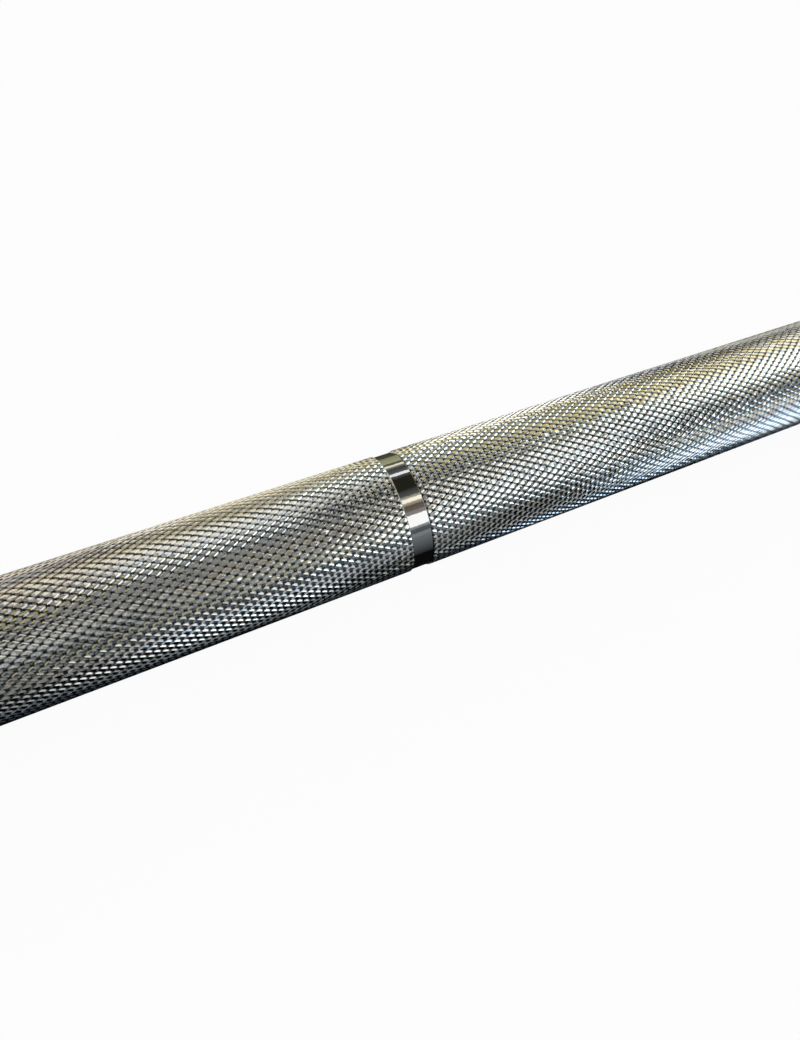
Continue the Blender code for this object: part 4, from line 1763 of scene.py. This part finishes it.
    def plug(self) -> None:
        """The rubber plug that closes the handle, with a grooved rim and a dished end."""
        face, tip = self.gap, self.gap + self.plug_length
        spigot = self.arm_radius - self.arm_wall - self.gap
        rim, groove = self.grip_radius, 0.0164
        profile = [
            (-0.018, 0),
            (-0.018, spigot - 0.0006),
            (-0.0165, spigot),
            (face, spigot),
            (face, rim),
            (face + 0.0022, rim),
            (face + 0.0027, groove),
            (face + 0.0034, groove),
            (face + 0.0039, rim),
            (tip - 0.0030, rim),
            (tip - 0.0009, 0.0161),
            (tip, 0.0140),
            (tip, 0.0095),
            (tip - 0.0007, 0.0088),
            (tip - 0.0007, 0),
        ]
        name = f"handle_plug_{self.side.word}"
        stand = self.path.station(self.arm_end) @ turned_about("Y", -QUARTER_TURN)
        self.deliver(name, lathe(profile, 128, 0.0005), RUBBER, [name], stand)


def hump(distance: np.ndarray, width: float) -> np.ndarray:
    """A smooth hump of height 1 at distance 0, this wide to either side."""
    return np.exp(-((distance / width) ** 2))


@dataclass
class Cushion:
    """A pad's form, straight along Z with its bar's hole on the axis."""

    length: float
    bore: float
    edge: float
    crown: float
    aside: tuple[float, float] = (0.0, 0.0)
    seam_angle: float = 0.0
    fullness: float = 8.0
    slack: float = 0.0012
    most_swell: float = 0.0040
    lining: float = 0.0015
    lining_fade: float = 0.004
    seam_hold: float = 0.003
    voxel: float = 0.004
    frames: int = 20

    def skin(self, run: float) -> float:
        """The radius of the pad's skin at a length along it."""
        from_middle = min(1.0, abs(2 * run / self.length - 1))
        return self.edge + (self.crown - self.edge) * math.sqrt(1 - from_middle**self.fullness)

    def solid(self, inset: float, sides: int = 72, steps: int = 40) -> Shape:
        """The pad as a closed form with its hole.

        Args:
            inset: How far its skin lies inside the full form.
            sides: The steps round.
            steps: The steps along.

        Returns:
            The closed form.
        """
        runs = [self.length * (1 - math.cos(math.pi * step / steps)) / 2 for step in range(steps + 1)]
        runs = [min(max(run, inset), self.length - inset) for run in runs]
        points = [(self.bore, runs[0])]
        points += [(self.skin(run) - inset, run) for run in runs]
        points += [(self.bore, runs[-1])]
        bm = bmesh.new()
        verts = [bm.verts.new((radius, 0, run)) for radius, run in points]
        for pair in zip(verts, verts[1:] + verts[:1]):
            bm.edges.new(pair)
        sweep(bm, (0, 0, 1), sides)
        for vert in bm.verts:
            share = min(1.0, max(0.0, (vert.co.xy.length - self.bore) / (self.edge - inset - self.bore)))
            vert.co.x += share * self.aside[0]
            vert.co.y += share * self.aside[1]
        return cleaned(bm)

    def polar(self, points: np.ndarray) -> tuple[np.ndarray, np.ndarray]:
        """The angle and distance of points about the pad's own middle line."""
        x, y = points[:, 0] - self.aside[0], points[:, 1] - self.aside[1]
        return np.arctan2(y, x), np.hypot(x, y)

    def on_skin(self, points: np.ndarray) -> np.ndarray:
        """How far each point belongs to the skin, and not to the hole's lining."""
        from_bar = np.hypot(points[:, 0], points[:, 1])
        return np.clip((from_bar - self.bore - self.lining) / self.lining_fade, 0, 1)

    def stuffed(self, name: str) -> bpy.types.Mesh:
        """Args:
            name: The name of the mesh.

        Returns:
            The mesh, subdivided, still straight.
        """
        blank = scratch_object("cushion_blank", self.solid(self.slack))
        remesh = blank.modifiers.new("even", "REMESH")
        remesh.mode = "VOXEL"
        remesh.voxel_size = self.voxel
        mesh = as_mesh(blank, name)
        obj = bpy.data.objects.new("cushion_cloth", mesh)
        bpy.context.scene.collection.objects.link(obj)
        before = self.points(mesh)
        self.inflate(obj, before)
        after = self.fitted(obj, before)
        obj.modifiers.clear()
        obj.data.vertices.foreach_set("co", after.astype(np.float32).ravel())
        smooth = obj.modifiers.new("smooth", "SUBSURF")
        smooth.levels = smooth.render_levels = 2
        return as_mesh(obj, name)

    @staticmethod
    def points(mesh: bpy.types.Mesh) -> np.ndarray:
        """The points of a mesh, as rows."""
        return read_rows(mesh.vertices, "co").astype(float)

    def inflate(self, obj: bpy.types.Object, before: np.ndarray) -> None:
        """Fills the cloth of a pad with air, its lining and seam held.

        Args:
            obj: The pad, which gets a Cloth modifier.
            before: Its points.
        """
        angle, radius = self.polar(before)
        away = np.abs(np.angle(np.exp(1j * (angle - self.seam_angle)))) * radius
        held = np.maximum(1 - self.on_skin(before), hump(away, self.seam_hold))
        group = obj.vertex_groups.new(name="held")
        for index, weight in enumerate(held):
            group.add([index], float(weight), "REPLACE")
        cloth = obj.modifiers.new("cloth", "CLOTH")
        cloth.settings.quality = 5
        cloth.settings.mass = 0.02
        cloth.settings.tension_stiffness = 1
        cloth.settings.compression_stiffness = 1
        cloth.settings.shear_stiffness = 0.4
        cloth.settings.bending_stiffness = 0.05
        cloth.settings.use_pressure = True
        cloth.settings.uniform_pressure_force = 20
        cloth.settings.effector_weights.gravity = 0
        cloth.settings.vertex_group_mass = "held"
        cloth.point_cache.frame_start = 1
        cloth.point_cache.frame_end = self.frames
        for now in range(1, self.frames + 1):
            bpy.context.scene.frame_set(now)

    def fitted(self, obj: bpy.types.Object, before: np.ndarray) -> np.ndarray:
        """The pad's points after the simulation, none moved further than the cover stretches.

        Args:
            obj: The pad.
            before: Its points before.

        Returns:
            The points.
        """
        seen = obj.evaluated_get(bpy.context.evaluated_depsgraph_get())
        moved = self.points(seen.to_mesh()) - before
        seen.to_mesh_clear()
        far = np.maximum(np.linalg.norm(moved, axis=1), 1e-9)
        moved *= np.minimum(1, self.most_swell / far)[:, None]
        return before + moved * self.on_skin(before)[:, None]


@dataclass
class Pad(Assembly):
    """A foam pad in a sewn cover, on a straight or bent bar."""

    name: str = "neck_pad"
    form: Optional[Cushion] = None
    bend: Optional[Callable[[np.ndarray], np.ndarray]] = None
    crease_angle: Optional[float] = None
    seed: int = 1
    stitch_pitch: float = 0.0038
    stitch_length: float = 0.0026
    stitch_radius: float = 0.00038
    row_apart: float = 0.0033
    piping: float = 0.0017
    rim_run: float = 0.0042
    seam_margin: float = 0.006
    rim_row: float = 0.0045
    core_gap: float = 0.0004
    core_inset: float = 0.0062

    def build(self, stuffed: bpy.types.Mesh) -> None:
        """The cover with its piping and stitches, and the foam in it.

        Args:
            stuffed: The filled form, which is copied.
        """
        mesh = stuffed.copy()
        points = self.sculpted(Cushion.points(mesh))
        mesh.vertices.foreach_set("co", points.astype(np.float32).ravel())
        mesh.update()
        tree = self.tree(mesh)
        self.sew(tree)
        self.pipe(tree)
        mesh.vertices.foreach_set("co", self.put(points).astype(np.float32).ravel())
        mesh.update()
        mesh.shade_smooth()
        cover = f"{self.name}_cover"
        piece = self.deliver_mesh(cover, mesh, VINYL, [cover], self.place, weigh=False)
        self.core()

    def put(self, points: np.ndarray) -> np.ndarray:
        """Puts points of the straight pad where they belong.

        Args:
            points: The points, as rows.

        Returns:
            The rows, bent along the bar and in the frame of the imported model.
        """
        bent = self.bend(points) if self.bend else points
        turn = np.array(self.place.to_3x3())
        return bent @ turn.T + np.array(self.place.to_translation())

    @staticmethod
    def tree(mesh: bpy.types.Mesh) -> BVHTree:
        """What finds the surface of a mesh.

        Args:
            mesh: The mesh.

        Returns:
            The tree of its faces.
        """
        bm = bmesh.new()
        bm.from_mesh(mesh)
        found = BVHTree.FromBMesh(bm)
        bm.free()
        return found

    def sculpted(self, points: np.ndarray) -> np.ndarray:
        """Presses the seam and the ends' channels in, and adds puckers and creases.

        Args:
            points: The filled form's points.

        Returns:
            The points.
        """
        form = self.form
        angle, radius = form.polar(points)
        run = points[:, 2]
        away = np.angle(np.exp(1j * (angle - form.seam_angle))) * radius
        from_end = np.minimum(run, form.length - run)
        past_rim = from_end - self.rim_run
        inwards = 0.0015 * hump(away, 0.0016) + 0.0012 * hump(away, 0.011)
        inwards += 0.0010 * hump(past_rim, 0.0019)
        pleats = 0.5 + 0.5 * np.sin(41 * angle + 3 * np.sin(3 * angle + self.seed))
        inwards += 0.00075 * pleats * np.clip(past_rim / 0.004, 0, 1) * np.exp(-past_rim / 0.009)
        side_pleats = 0.5 + 0.5 * np.sin(run / 0.0021 + 2 * np.sin(run / 0.013 + self.seed))
        inwards += 0.0004 * side_pleats * np.exp(-np.abs(away) / 0.006)
        lumps = [noise.noise(Vector(point) * 24 + Vector((self.seed, 0, 0))) for point in points]
        folds = [noise.noise(Vector((point[0], point[1], point[2] * 3)) * 30) for point in points]
        inwards -= 0.0009 * np.array(lumps) + 0.0005 * np.array(folds)
        if self.crease_angle is not None:
            inwards += self.creases(angle, run, from_end)
        out = np.column_stack((np.cos(angle), np.sin(angle), np.zeros(len(angle))))
        return points - out * (inwards * form.on_skin(points))[:, None]

    def creases(self, angle: np.ndarray, run: np.ndarray, from_end: np.ndarray) -> np.ndarray:
        """The folds of a cover on the inner side of its bend.

        Args:
            angle: Each point's angle about the pad.
            run: Its length along the pad.
            from_end: Its distance from the nearer end.

        Returns:
            How far each point is pressed in.
        """
        facing = np.cos(angle - self.crease_angle)
        reach = np.clip((facing - 0.15) / 0.6, 0, 1) * np.clip((from_end - 0.018) / 0.02, 0, 1)
        depth = np.zeros(len(run))
        for number in range(9):
            place = 0.030 + number * 0.0165 + 0.004 * math.sin(5.1 * number + self.seed)
            wander = 0.0032 * np.sin(2.2 * angle + 1.7 * number + self.seed)
            strength = 0.0009 + 0.0007 * math.sin(2.9 * number + self.seed) ** 2
            gap = run - place - wander
            depth += strength * hump(gap, 0.0024) - 0.35 * strength * hump(gap, 0.007)
        return depth * reach

    def surface(self, tree: BVHTree, run: float, angle: float) -> tuple[Vector, Vector]:
        """Where the cover's skin is, and which way it faces.

        Args:
            tree: The cover's faces.
            run: The length along the pad.
            angle: The angle about its middle line.

        Returns:
            The point and the normal.
        """
        middle = Vector((*self.form.aside, run))
        out = Vector((math.cos(angle), math.sin(angle), 0))
        point, normal, _, _ = tree.ray_cast(middle + out * 0.2, -out)
        return point, normal

    def sew(self, tree: BVHTree) -> None:
        """The stitches: a row on either side of the seam, and one along each piped end.

        Args:
            tree: The cover's faces.
        """
        form = self.form
        bm = bmesh.new()
        start = self.rim_run + self.seam_margin
        count = int((form.length - 2 * start) / self.stitch_pitch)
        for row in (-1, 1):
            for number in range(count + 1):
                run = start + number * self.stitch_pitch
                reach = self.surface(tree, run, form.seam_angle)[0] - Vector((*form.aside, run))
                angle = form.seam_angle + row * self.row_apart / reach.length
                self.stitch(bm, tree, run, angle, Vector((0, 0, 1)))
        for run in (self.rim_run + self.rim_row, form.length - self.rim_run - self.rim_row):
            girth = math.tau * form.skin(run)
            around = int(girth / self.stitch_pitch)
            for number in range(around):
                angle = math.tau * number / around
                self.stitch(bm, tree, run, angle, Vector((-math.sin(angle), math.cos(angle), 0)))
        self.deliver_soft(f"{self.name}_stitches", bm, THREAD)

    def stitch(self, bm: Shape, tree: BVHTree, run: float, angle: float, along: Vector) -> None:
        """One stitch, half sunk in the cover.

        Args:
            bm: The mesh of the stitches.
            tree: The cover's faces.
            run: The length along the pad.
            angle: The angle about its middle line.
            along: Which way the thread runs.
        """
        point, normal = self.surface(tree, run, angle)
        for step in (-0.09, -0.045, 0.045, 0.09):
            normal += self.surface(tree, run, angle + step)[1]
        normal.normalize()
        flat = (along - normal * along.dot(normal)).normalized()
        across = normal.cross(flat)
        turn = Matrix((across, normal, flat)).transposed().to_4x4()
        size = Matrix.Diagonal((self.stitch_radius, self.stitch_radius, self.stitch_length / 2, 1))
        where = Matrix.Translation(point + normal * self.stitch_radius * 0.35) @ turn @ size
        bmesh.ops.create_uvsphere(bm, u_segments=7, v_segments=5, radius=1, matrix=where)

    def pipe(self, tree: BVHTree) -> None:
        """The piping round each end of the cover.

        Args:
            tree: The cover's faces.
        """
        bm = bmesh.new()
        for run in (self.rim_run, self.form.length - self.rim_run):
            ring = bmesh.new()
            stand = shifted(1, 0, 0) @ turned_about("X", QUARTER_TURN)
            bmesh.ops.create_circle(ring, cap_ends=False, radius=self.piping, segments=14, matrix=stand)
            sweep(ring, (0, 0, 1), 144)
            reach = self.mean_reach(tree, run)
            for vert in ring.verts:
                angle = math.atan2(vert.co.y, vert.co.x)
                out = vert.co.xy.length - 1 + reach + self.piping * 0.45
                vert.co.x = self.form.aside[0] + math.cos(angle) * out
                vert.co.y = self.form.aside[1] + math.sin(angle) * out
                vert.co.z += run
            take_in(bm, cleaned(ring))
        self.deliver_soft(f"{self.name}_piping", bm, VINYL)

    def mean_reach(self, tree: BVHTree, run: float) -> float:
        """How far the cover's skin is from the pad's middle line, on average.

        Args:
            tree: The cover's faces.
            run: The length along the pad.

        Returns:
            The distance.
        """
        middle = Vector((*self.form.aside, run))
        points = [self.surface(tree, run, math.tau * number / 36)[0] for number in range(36)]
        return sum((point - middle).length for point in points) / len(points)

    def deliver_soft(self, name: str, bm: Shape, finish: Finish) -> bpy.types.Object:
        """Bends a straight shape along the bar and makes it a finished piece of this pad.

        Args:
            name: The piece's name.
            bm: Its shape, which this frees.
            finish: What it is finished in.

        Returns:
            The piece.
        """
        for vert in bm.verts:
            vert.co = self.put(np.array([vert.co]))[0]
        bmesh.ops.recalc_face_normals(bm, faces=bm.faces)
        mesh = baked(name, bm)
        mesh.shade_smooth()
        cover = f"{self.name}_cover"
        node = f"{self.name}_foam" if finish is FOAM else cover
        return self.deliver_mesh(name, mesh, finish, [node], self.place, weigh=False)

    def core(self) -> None:
        """The foam inside the cover, of which nothing shows."""
        inside = replace(self.form, bore=self.form.bore + self.core_gap)
        foam = inside.solid(self.core_inset, sides=48, steps=28)
        piece = self.deliver_soft(f"{self.name}_foam", foam, FOAM)


@dataclass(frozen=True)
class Card:
    """One length of the reflection cards, up to an angle. Its glow may fade to a last level."""

    until: int
    tint: Tint
    level: float
    last_level: Optional[float] = None

    def glow(self, share: float) -> tuple[float, float, float, float]:
        """The colour at a place on the card.

        Args:
            share: How far across that is, from 0 to 1.

        Returns:
            The colour with its alpha.
        """
        last = self.level if self.last_level is None else self.last_level
        level = self.level + (last - self.level) * share
        return (*(level * number for number in self.tint.value), 1.0)


@dataclass(frozen=True)
class CardRow:
    """The cards beside one stretch of the bar. Angles turn from above towards the handles.

    Each end is a place on the bar and how far it moves along the bar for each metre away from it.
    """

    name: str
    from_x: tuple[float, float]
    to_x: tuple[float, float]
    cards: tuple[Card, ...]


CARD_ROWS = (
    CardRow("far_left", (-3.0, 0.0), (0.36, -0.30), (
        Card(-118, Tint.WHITE, 0.08, 0.30),
        Card(-90, Tint.WHITE, 0.04),
        Card(-60, Tint.MAUVE, 0.25, 0.70),
        Card(-38, Tint.BROWN, 0.90),
        Card(-18, Tint.MAUVE, 0.32),
        Card(-9, Tint.WHITE, 0.12),
        Card(10, Tint.GOLD, 0.50),
        Card(30, Tint.WHITE, 0.05),
        Card(60, Tint.WHITE, 0.50),
        Card(88, Tint.COOL, 0.06),
        Card(108, Tint.COOL, 0.24),
        Card(180, Tint.WHITE, 0.0),
    )),
    CardRow("left", (0.36, -0.30), (0.398, 0.19), (
        Card(-122, Tint.CREAM, 0.06, 0.60),
        Card(-96, Tint.CREAM, 1.08),
        Card(-80, Tint.CREAM, 0.80),
        Card(-66, Tint.BROWN, 0.36),
        Card(-52, Tint.CREAM, 0.60),
        Card(-18, Tint.CREAM, 0.85),
        Card(-9, Tint.COOL, 0.55),
        Card(31, Tint.WHITE, 0.24),
        Card(50, Tint.CREAM, 0.24),
        Card(70, Tint.COOL, 0.38),
        Card(80, Tint.COOL, 0.26),
        Card(118, Tint.BLUE, 0.08),
        Card(180, Tint.WHITE, 0.0),
    )),
    CardRow("mark", (0.398, 0.19), (0.412, 0.36), (
        Card(-157, Tint.WHITE, 0.004),
        Card(-126, Tint.WHITE, 0.12),
        Card(-92, Tint.OLIVE, 0.02, 0.08),
        Card(-68, Tint.LEAF, 0.26, 0.40),
        Card(-61, Tint.OLIVE, 0.11),
        Card(-56, Tint.CREAM, 0.95),
        Card(-50, Tint.CREAM, 0.28, 0.10),
        Card(-37, Tint.COOL, 0.05, 0.12),
        Card(-31, Tint.WHITE, 1.0),
        Card(-24, Tint.WHITE, 0.10, 0.03),
        Card(2, Tint.OLIVE, 0.018),
        Card(15, Tint.WHITE, 0.03, 0.10),
        Card(20, Tint.CREAM, 0.25, 0.50),
        Card(27, Tint.CREAM, 1.15),
        Card(33, Tint.BROWN, 0.50, 0.24),
        Card(44, Tint.BROWN, 0.10, 0.17),
        Card(51, Tint.MAUVE, 0.26),
        Card(73, Tint.WHITE, 1.18),
        Card(78, Tint.COOL, 0.30),
        Card(87, Tint.COOL, 0.11),
        Card(94, Tint.COOL, 0.25),
        Card(128, Tint.COOL, 0.20, 0.02),
        Card(180, Tint.WHITE, 0.004),
    )),
    CardRow("right", (0.412, 0.36), (0.44, 0.80), (
        Card(-128, Tint.WHITE, 0.0),
        Card(-116, Tint.COOL, 0.80),
        Card(-98, Tint.WHITE, 1.35),
        Card(-80, Tint.WHITE, 2.20),
        Card(-57, Tint.LEAF, 0.18),
        Card(-11, Tint.GOLD, 0.60),
        Card(8, Tint.WHITE, 0.15),
        Card(19, Tint.CREAM, 0.78),
        Card(40, Tint.WHITE, 1.10),
        Card(50, Tint.BLUE, 1.20),
        Card(82, Tint.COOL, 2.0),
        Card(100, Tint.COOL, 0.45, 0.03),
        Card(180, Tint.WHITE, 0.0),
    )),
    CardRow("far_right", (0.44, 0.80), (3.0, 0.0), (
        Card(-128, Tint.WHITE, 0.0),
        Card(-114, Tint.WHITE, 0.22),
        Card(-97, Tint.BLUE, 0.25),
        Card(-80, Tint.WHITE, 0.95),
        Card(-50, Tint.GOLD, 0.03),
        Card(-20, Tint.GOLD, 1.20),
        Card(4, Tint.COOL, 1.75),
        Card(24, Tint.ICE, 3.1),
        Card(42, Tint.COOL, 1.05, 0.40),
        Card(60, Tint.WHITE, 0.26),
        Card(86, Tint.WHITE, 0.05),
        Card(100, Tint.CREAM, 0.60),
        Card(111, Tint.BLUE, 0.42),
        Card(129, Tint.BLUE, 2.35),
        Card(180, Tint.WHITE, 0.0),
    )),
)


@dataclass
class Studio:
    """The pale floor, the white room, the soft lamps, the reflection cards and the camera."""

    axis: Vector
    floor_size: float = 40.0
    floor_tone: float = 0.92
    floor_glow: float = 0.93
    room_light: float = 0.5
    card_distance: float = 0.5
    card_lift: float = 0.0015
    eye: Triple = (0.36875, 0.09638, 0.14892)
    eye_right: Triple = (0.91257, -0.40891, 0.0)
    eye_up: Triple = (0.32123, 0.71683, 0.61880)
    lens: float = 20.42

    def build(self) -> None:
        """Everything that isn't part of the bar."""
        bpy.context.scene.view_settings.view_transform = "Standard"
        self.camera()
        self.room()
        self.floor()
        self.lamps()
        glow = self.card_paper()
        for row in CARD_ROWS:
            self.card_row(row, glow)

    def camera(self) -> None:
        """The camera at the photograph's viewing angle."""
        data = bpy.data.cameras.new("camera")
        data.lens = self.lens
        data.sensor_width = 36.0
        data.clip_start = 0.01
        camera = bpy.data.objects.new("camera", data)
        bpy.context.scene.collection.objects.link(camera)
        right, up = Vector(self.eye_right), Vector(self.eye_up)
        turn = Matrix((right, up, right.cross(up))).transposed().to_4x4()
        camera.matrix_world = Matrix.Translation(self.eye) @ turn
        bpy.context.scene.camera = camera

    @staticmethod
    def shown(graph: Graph) -> Value:
        """Tells what the picture shows from what only lights the bar.

        Args:
            graph: The material's nodes.

        Returns:
            1 for what is seen, straight or by a reflection, and 0 for light.
        """
        path = graph.add("ShaderNodeLightPath")
        rays = ("Is Camera Ray", "Is Glossy Ray", "Is Transmission Ray")
        camera, glossy, through = (Value(graph, path.outputs[ray]) for ray in rays)
        return graph.math("MINIMUM", camera + glossy + through, 1.0)

    def room(self) -> None:
        """A white room, which lights the bar at a plain level."""
        world = bpy.data.worlds.new("room")
        bpy.context.scene.world = world
        graph = Graph(world, "ShaderNodeOutputWorld")
        seen = graph.add("ShaderNodeBackground", inputs={0: (1, 1, 1, 1), 1: 1.0})
        light = graph.add("ShaderNodeBackground", inputs={0: (1, 1, 1, 1), 1: self.room_light})
        inputs = {0: self.shown(graph), 1: light.outputs[0], 2: seen.outputs[0]}
        graph.end(graph.add("ShaderNodeMixShader", inputs=inputs))

    def floor(self) -> None:
        """The pale floor, which keeps a soft shadow."""
        material = bpy.data.materials.new("pale_floor")
        graph = Graph(material)
        tone = (self.floor_tone,) * 3 + (1.0,)
        matt = graph.add("ShaderNodeBsdfDiffuse", inputs={0: tone})
        glow = graph.add("ShaderNodeEmission", inputs={0: (1, 1, 1, 1), 1: 1.0})
        inputs = {0: self.shown(graph) * self.floor_glow, 1: matt.outputs[0], 2: glow.outputs[0]}
        graph.end(graph.add("ShaderNodeMixShader", inputs=inputs))
        material.cycles.emission_sampling = "NONE"
        bm = bmesh.new()
        bmesh.ops.create_grid(bm, x_segments=1, y_segments=1, size=self.floor_size / 2)
        floor = scratch_object("floor", bm)
        floor.data.materials.append(material)

    def lamps(self) -> None:
        """Two large soft boxes, which metal doesn't mirror."""
        for name, place, size, power in (
            ("key_box", (0.5, -1.0, 2.0), (3.0, 1.6), 20.0),
            ("fill_box", (-0.6, 1.4, 1.6), (3.0, 1.2), 7.0),
        ):
            data = bpy.data.lights.new(name, "AREA")
            data.shape = "RECTANGLE"
            data.size, data.size_y = size
            data.energy = power
            lamp = bpy.data.objects.new(name, data)
            lamp.location = place
            aim = Vector((0.1, 0, 0)) - Vector(place)
            lamp.rotation_euler = aim.to_track_quat("-Z", "Y").to_euler()
            lamp.visible_glossy = False
            bpy.context.scene.collection.objects.link(lamp)

    def card_row(self, row: CardRow, glow: bpy.types.Material) -> None:
        """One row of cards round the bar, seen only in what mirrors them.

        Args:
            row: Its cards.
            glow: Their material, which takes its colour from their corners.
        """
        bm = bmesh.new()
        colours = bm.loops.layers.float_color.new(CARD_GLOW)
        start = -180
        for card in row.cards:
            steps = card.until - start
            turn = bmesh.ops.create_grid(bm, x_segments=1, y_segments=steps, size=0.5)["verts"]
            for vert in turn:
                share = vert.co.y + 0.5
                vert.co = self.card_point(row, vert.co.x > 0, math.radians(start + share * steps))
                for loop in vert.link_loops:
                    loop[colours] = card.glow(share)
            start = card.until
        cards = scratch_object(f"cards_{row.name}", bm)
        cards.data.materials.append(glow)
        for ray in ("camera", "diffuse", "transmission", "volume_scatter", "shadow"):
            setattr(cards, f"visible_{ray}", False)

    def card_point(self, row: CardRow, far_end: bool, angle: float) -> Vector:
        """A corner of a card.

        Args:
            row: The card's row.
            far_end: True for the row's right end.
            angle: The angle from above towards the handles.

        Returns:
            The point, above the floor.
        """
        out, up = -math.sin(angle), math.cos(angle)
        distance = self.card_distance
        drop = self.axis.z - self.card_lift
        if up < 0:
            distance = min(distance, -drop / up)
        base, slope = row.to_x if far_end else row.from_x
        x = base + slope * distance
        return Vector((x, self.axis.y + out * distance, self.axis.z + up * distance))

    @staticmethod
    def card_paper() -> bpy.types.Material:
        """The glow of the cards, in the colours of their corners.

        Returns:
            The material.
        """
        material = bpy.data.materials.new("card_glow")
        graph = Graph(material)
        colour = graph.add("ShaderNodeAttribute", {"attribute_name": CARD_GLOW}).outputs["Color"]
        graph.end(graph.add("ShaderNodeEmission", inputs={0: colour, 1: 1.0}))
        material.cycles.emission_sampling = "NONE"
        return material


def shoulder_cushion(side: Side) -> Cushion:
    """The form of a shoulder pad, its seam on the side away from the neck.

    Args:
        side: Which pad it is.

    Returns:
        The form.
    """
    outward = 0.0 if side is Side.RIGHT else math.pi
    seam = outward - side.value * math.radians(28)
    return Cushion(length=0.1895, bore=0.01488, edge=0.0268, crown=0.0415, seam_angle=seam)


def neck_cushion() -> Cushion:
    """The form of the neck pad, which lies off the bar to the upper front."""
    aside, seam = (-0.005, -0.0065), math.radians(52)
    return Cushion(length=0.184, bore=0.01483, edge=0.02675, crown=0.03905, aside=aside, seam_angle=seam)


def yoke_place(side: Side, spread: float = 0.125, rise: float = math.radians(38)) -> Matrix:
    """The frame of a yoke clamp, its Z axis along the arm."""
    return bar_place() @ shifted(side.value * spread, 0, 0) @ turned_about("X", QUARTER_TURN - rise)


def make_pads() -> None:
    """The two shoulder pads and the neck pad."""
    path = ArmPath()
    start = 0.052
    for side in Side:
        form = shoulder_cushion(side)
        stuffed = form.stuffed("shoulder_filling")

        def bend(points: np.ndarray) -> np.ndarray:
            """Puts straight points on the arm from the pad's start on."""
            return path.bent(points + np.array((0, 0, start)))

        name = f"shoulder_pad_{side.word}"
        pad = Pad(Body.YOKE, yoke_place(side), name, form, bend, -QUARTER_TURN, seed=3 + side.value)
        pad.build(stuffed)
        bpy.data.meshes.remove(stuffed)
    form = neck_cushion()
    along = bar_place() @ turned_about("Y", QUARTER_TURN) @ shifted(0, 0, -form.length / 2)
    stuffed = form.stuffed("neck_filling")
    Pad(Body.YOKE, along, "neck_pad", form, seed=7).build(stuffed)
    bpy.data.meshes.remove(stuffed)


def main() -> None:
    """Builds the studio and every piece of the bar."""
    logging.basicConfig(level=logging.INFO, format="%(message)s")
    place = bar_place()
    Studio(place.to_translation()).build()
    Shaft(Body.YOKE, place).build()
    for side in Side:
        SleeveEnd(Body.sleeve(side), place, side).build()
        SleeveEnd(Body.YOKE, place, side).build_kept()
        Yoke(Body.YOKE, yoke_place(side), side).build()
    make_pads()


if __name__ == "__main__":
    main()
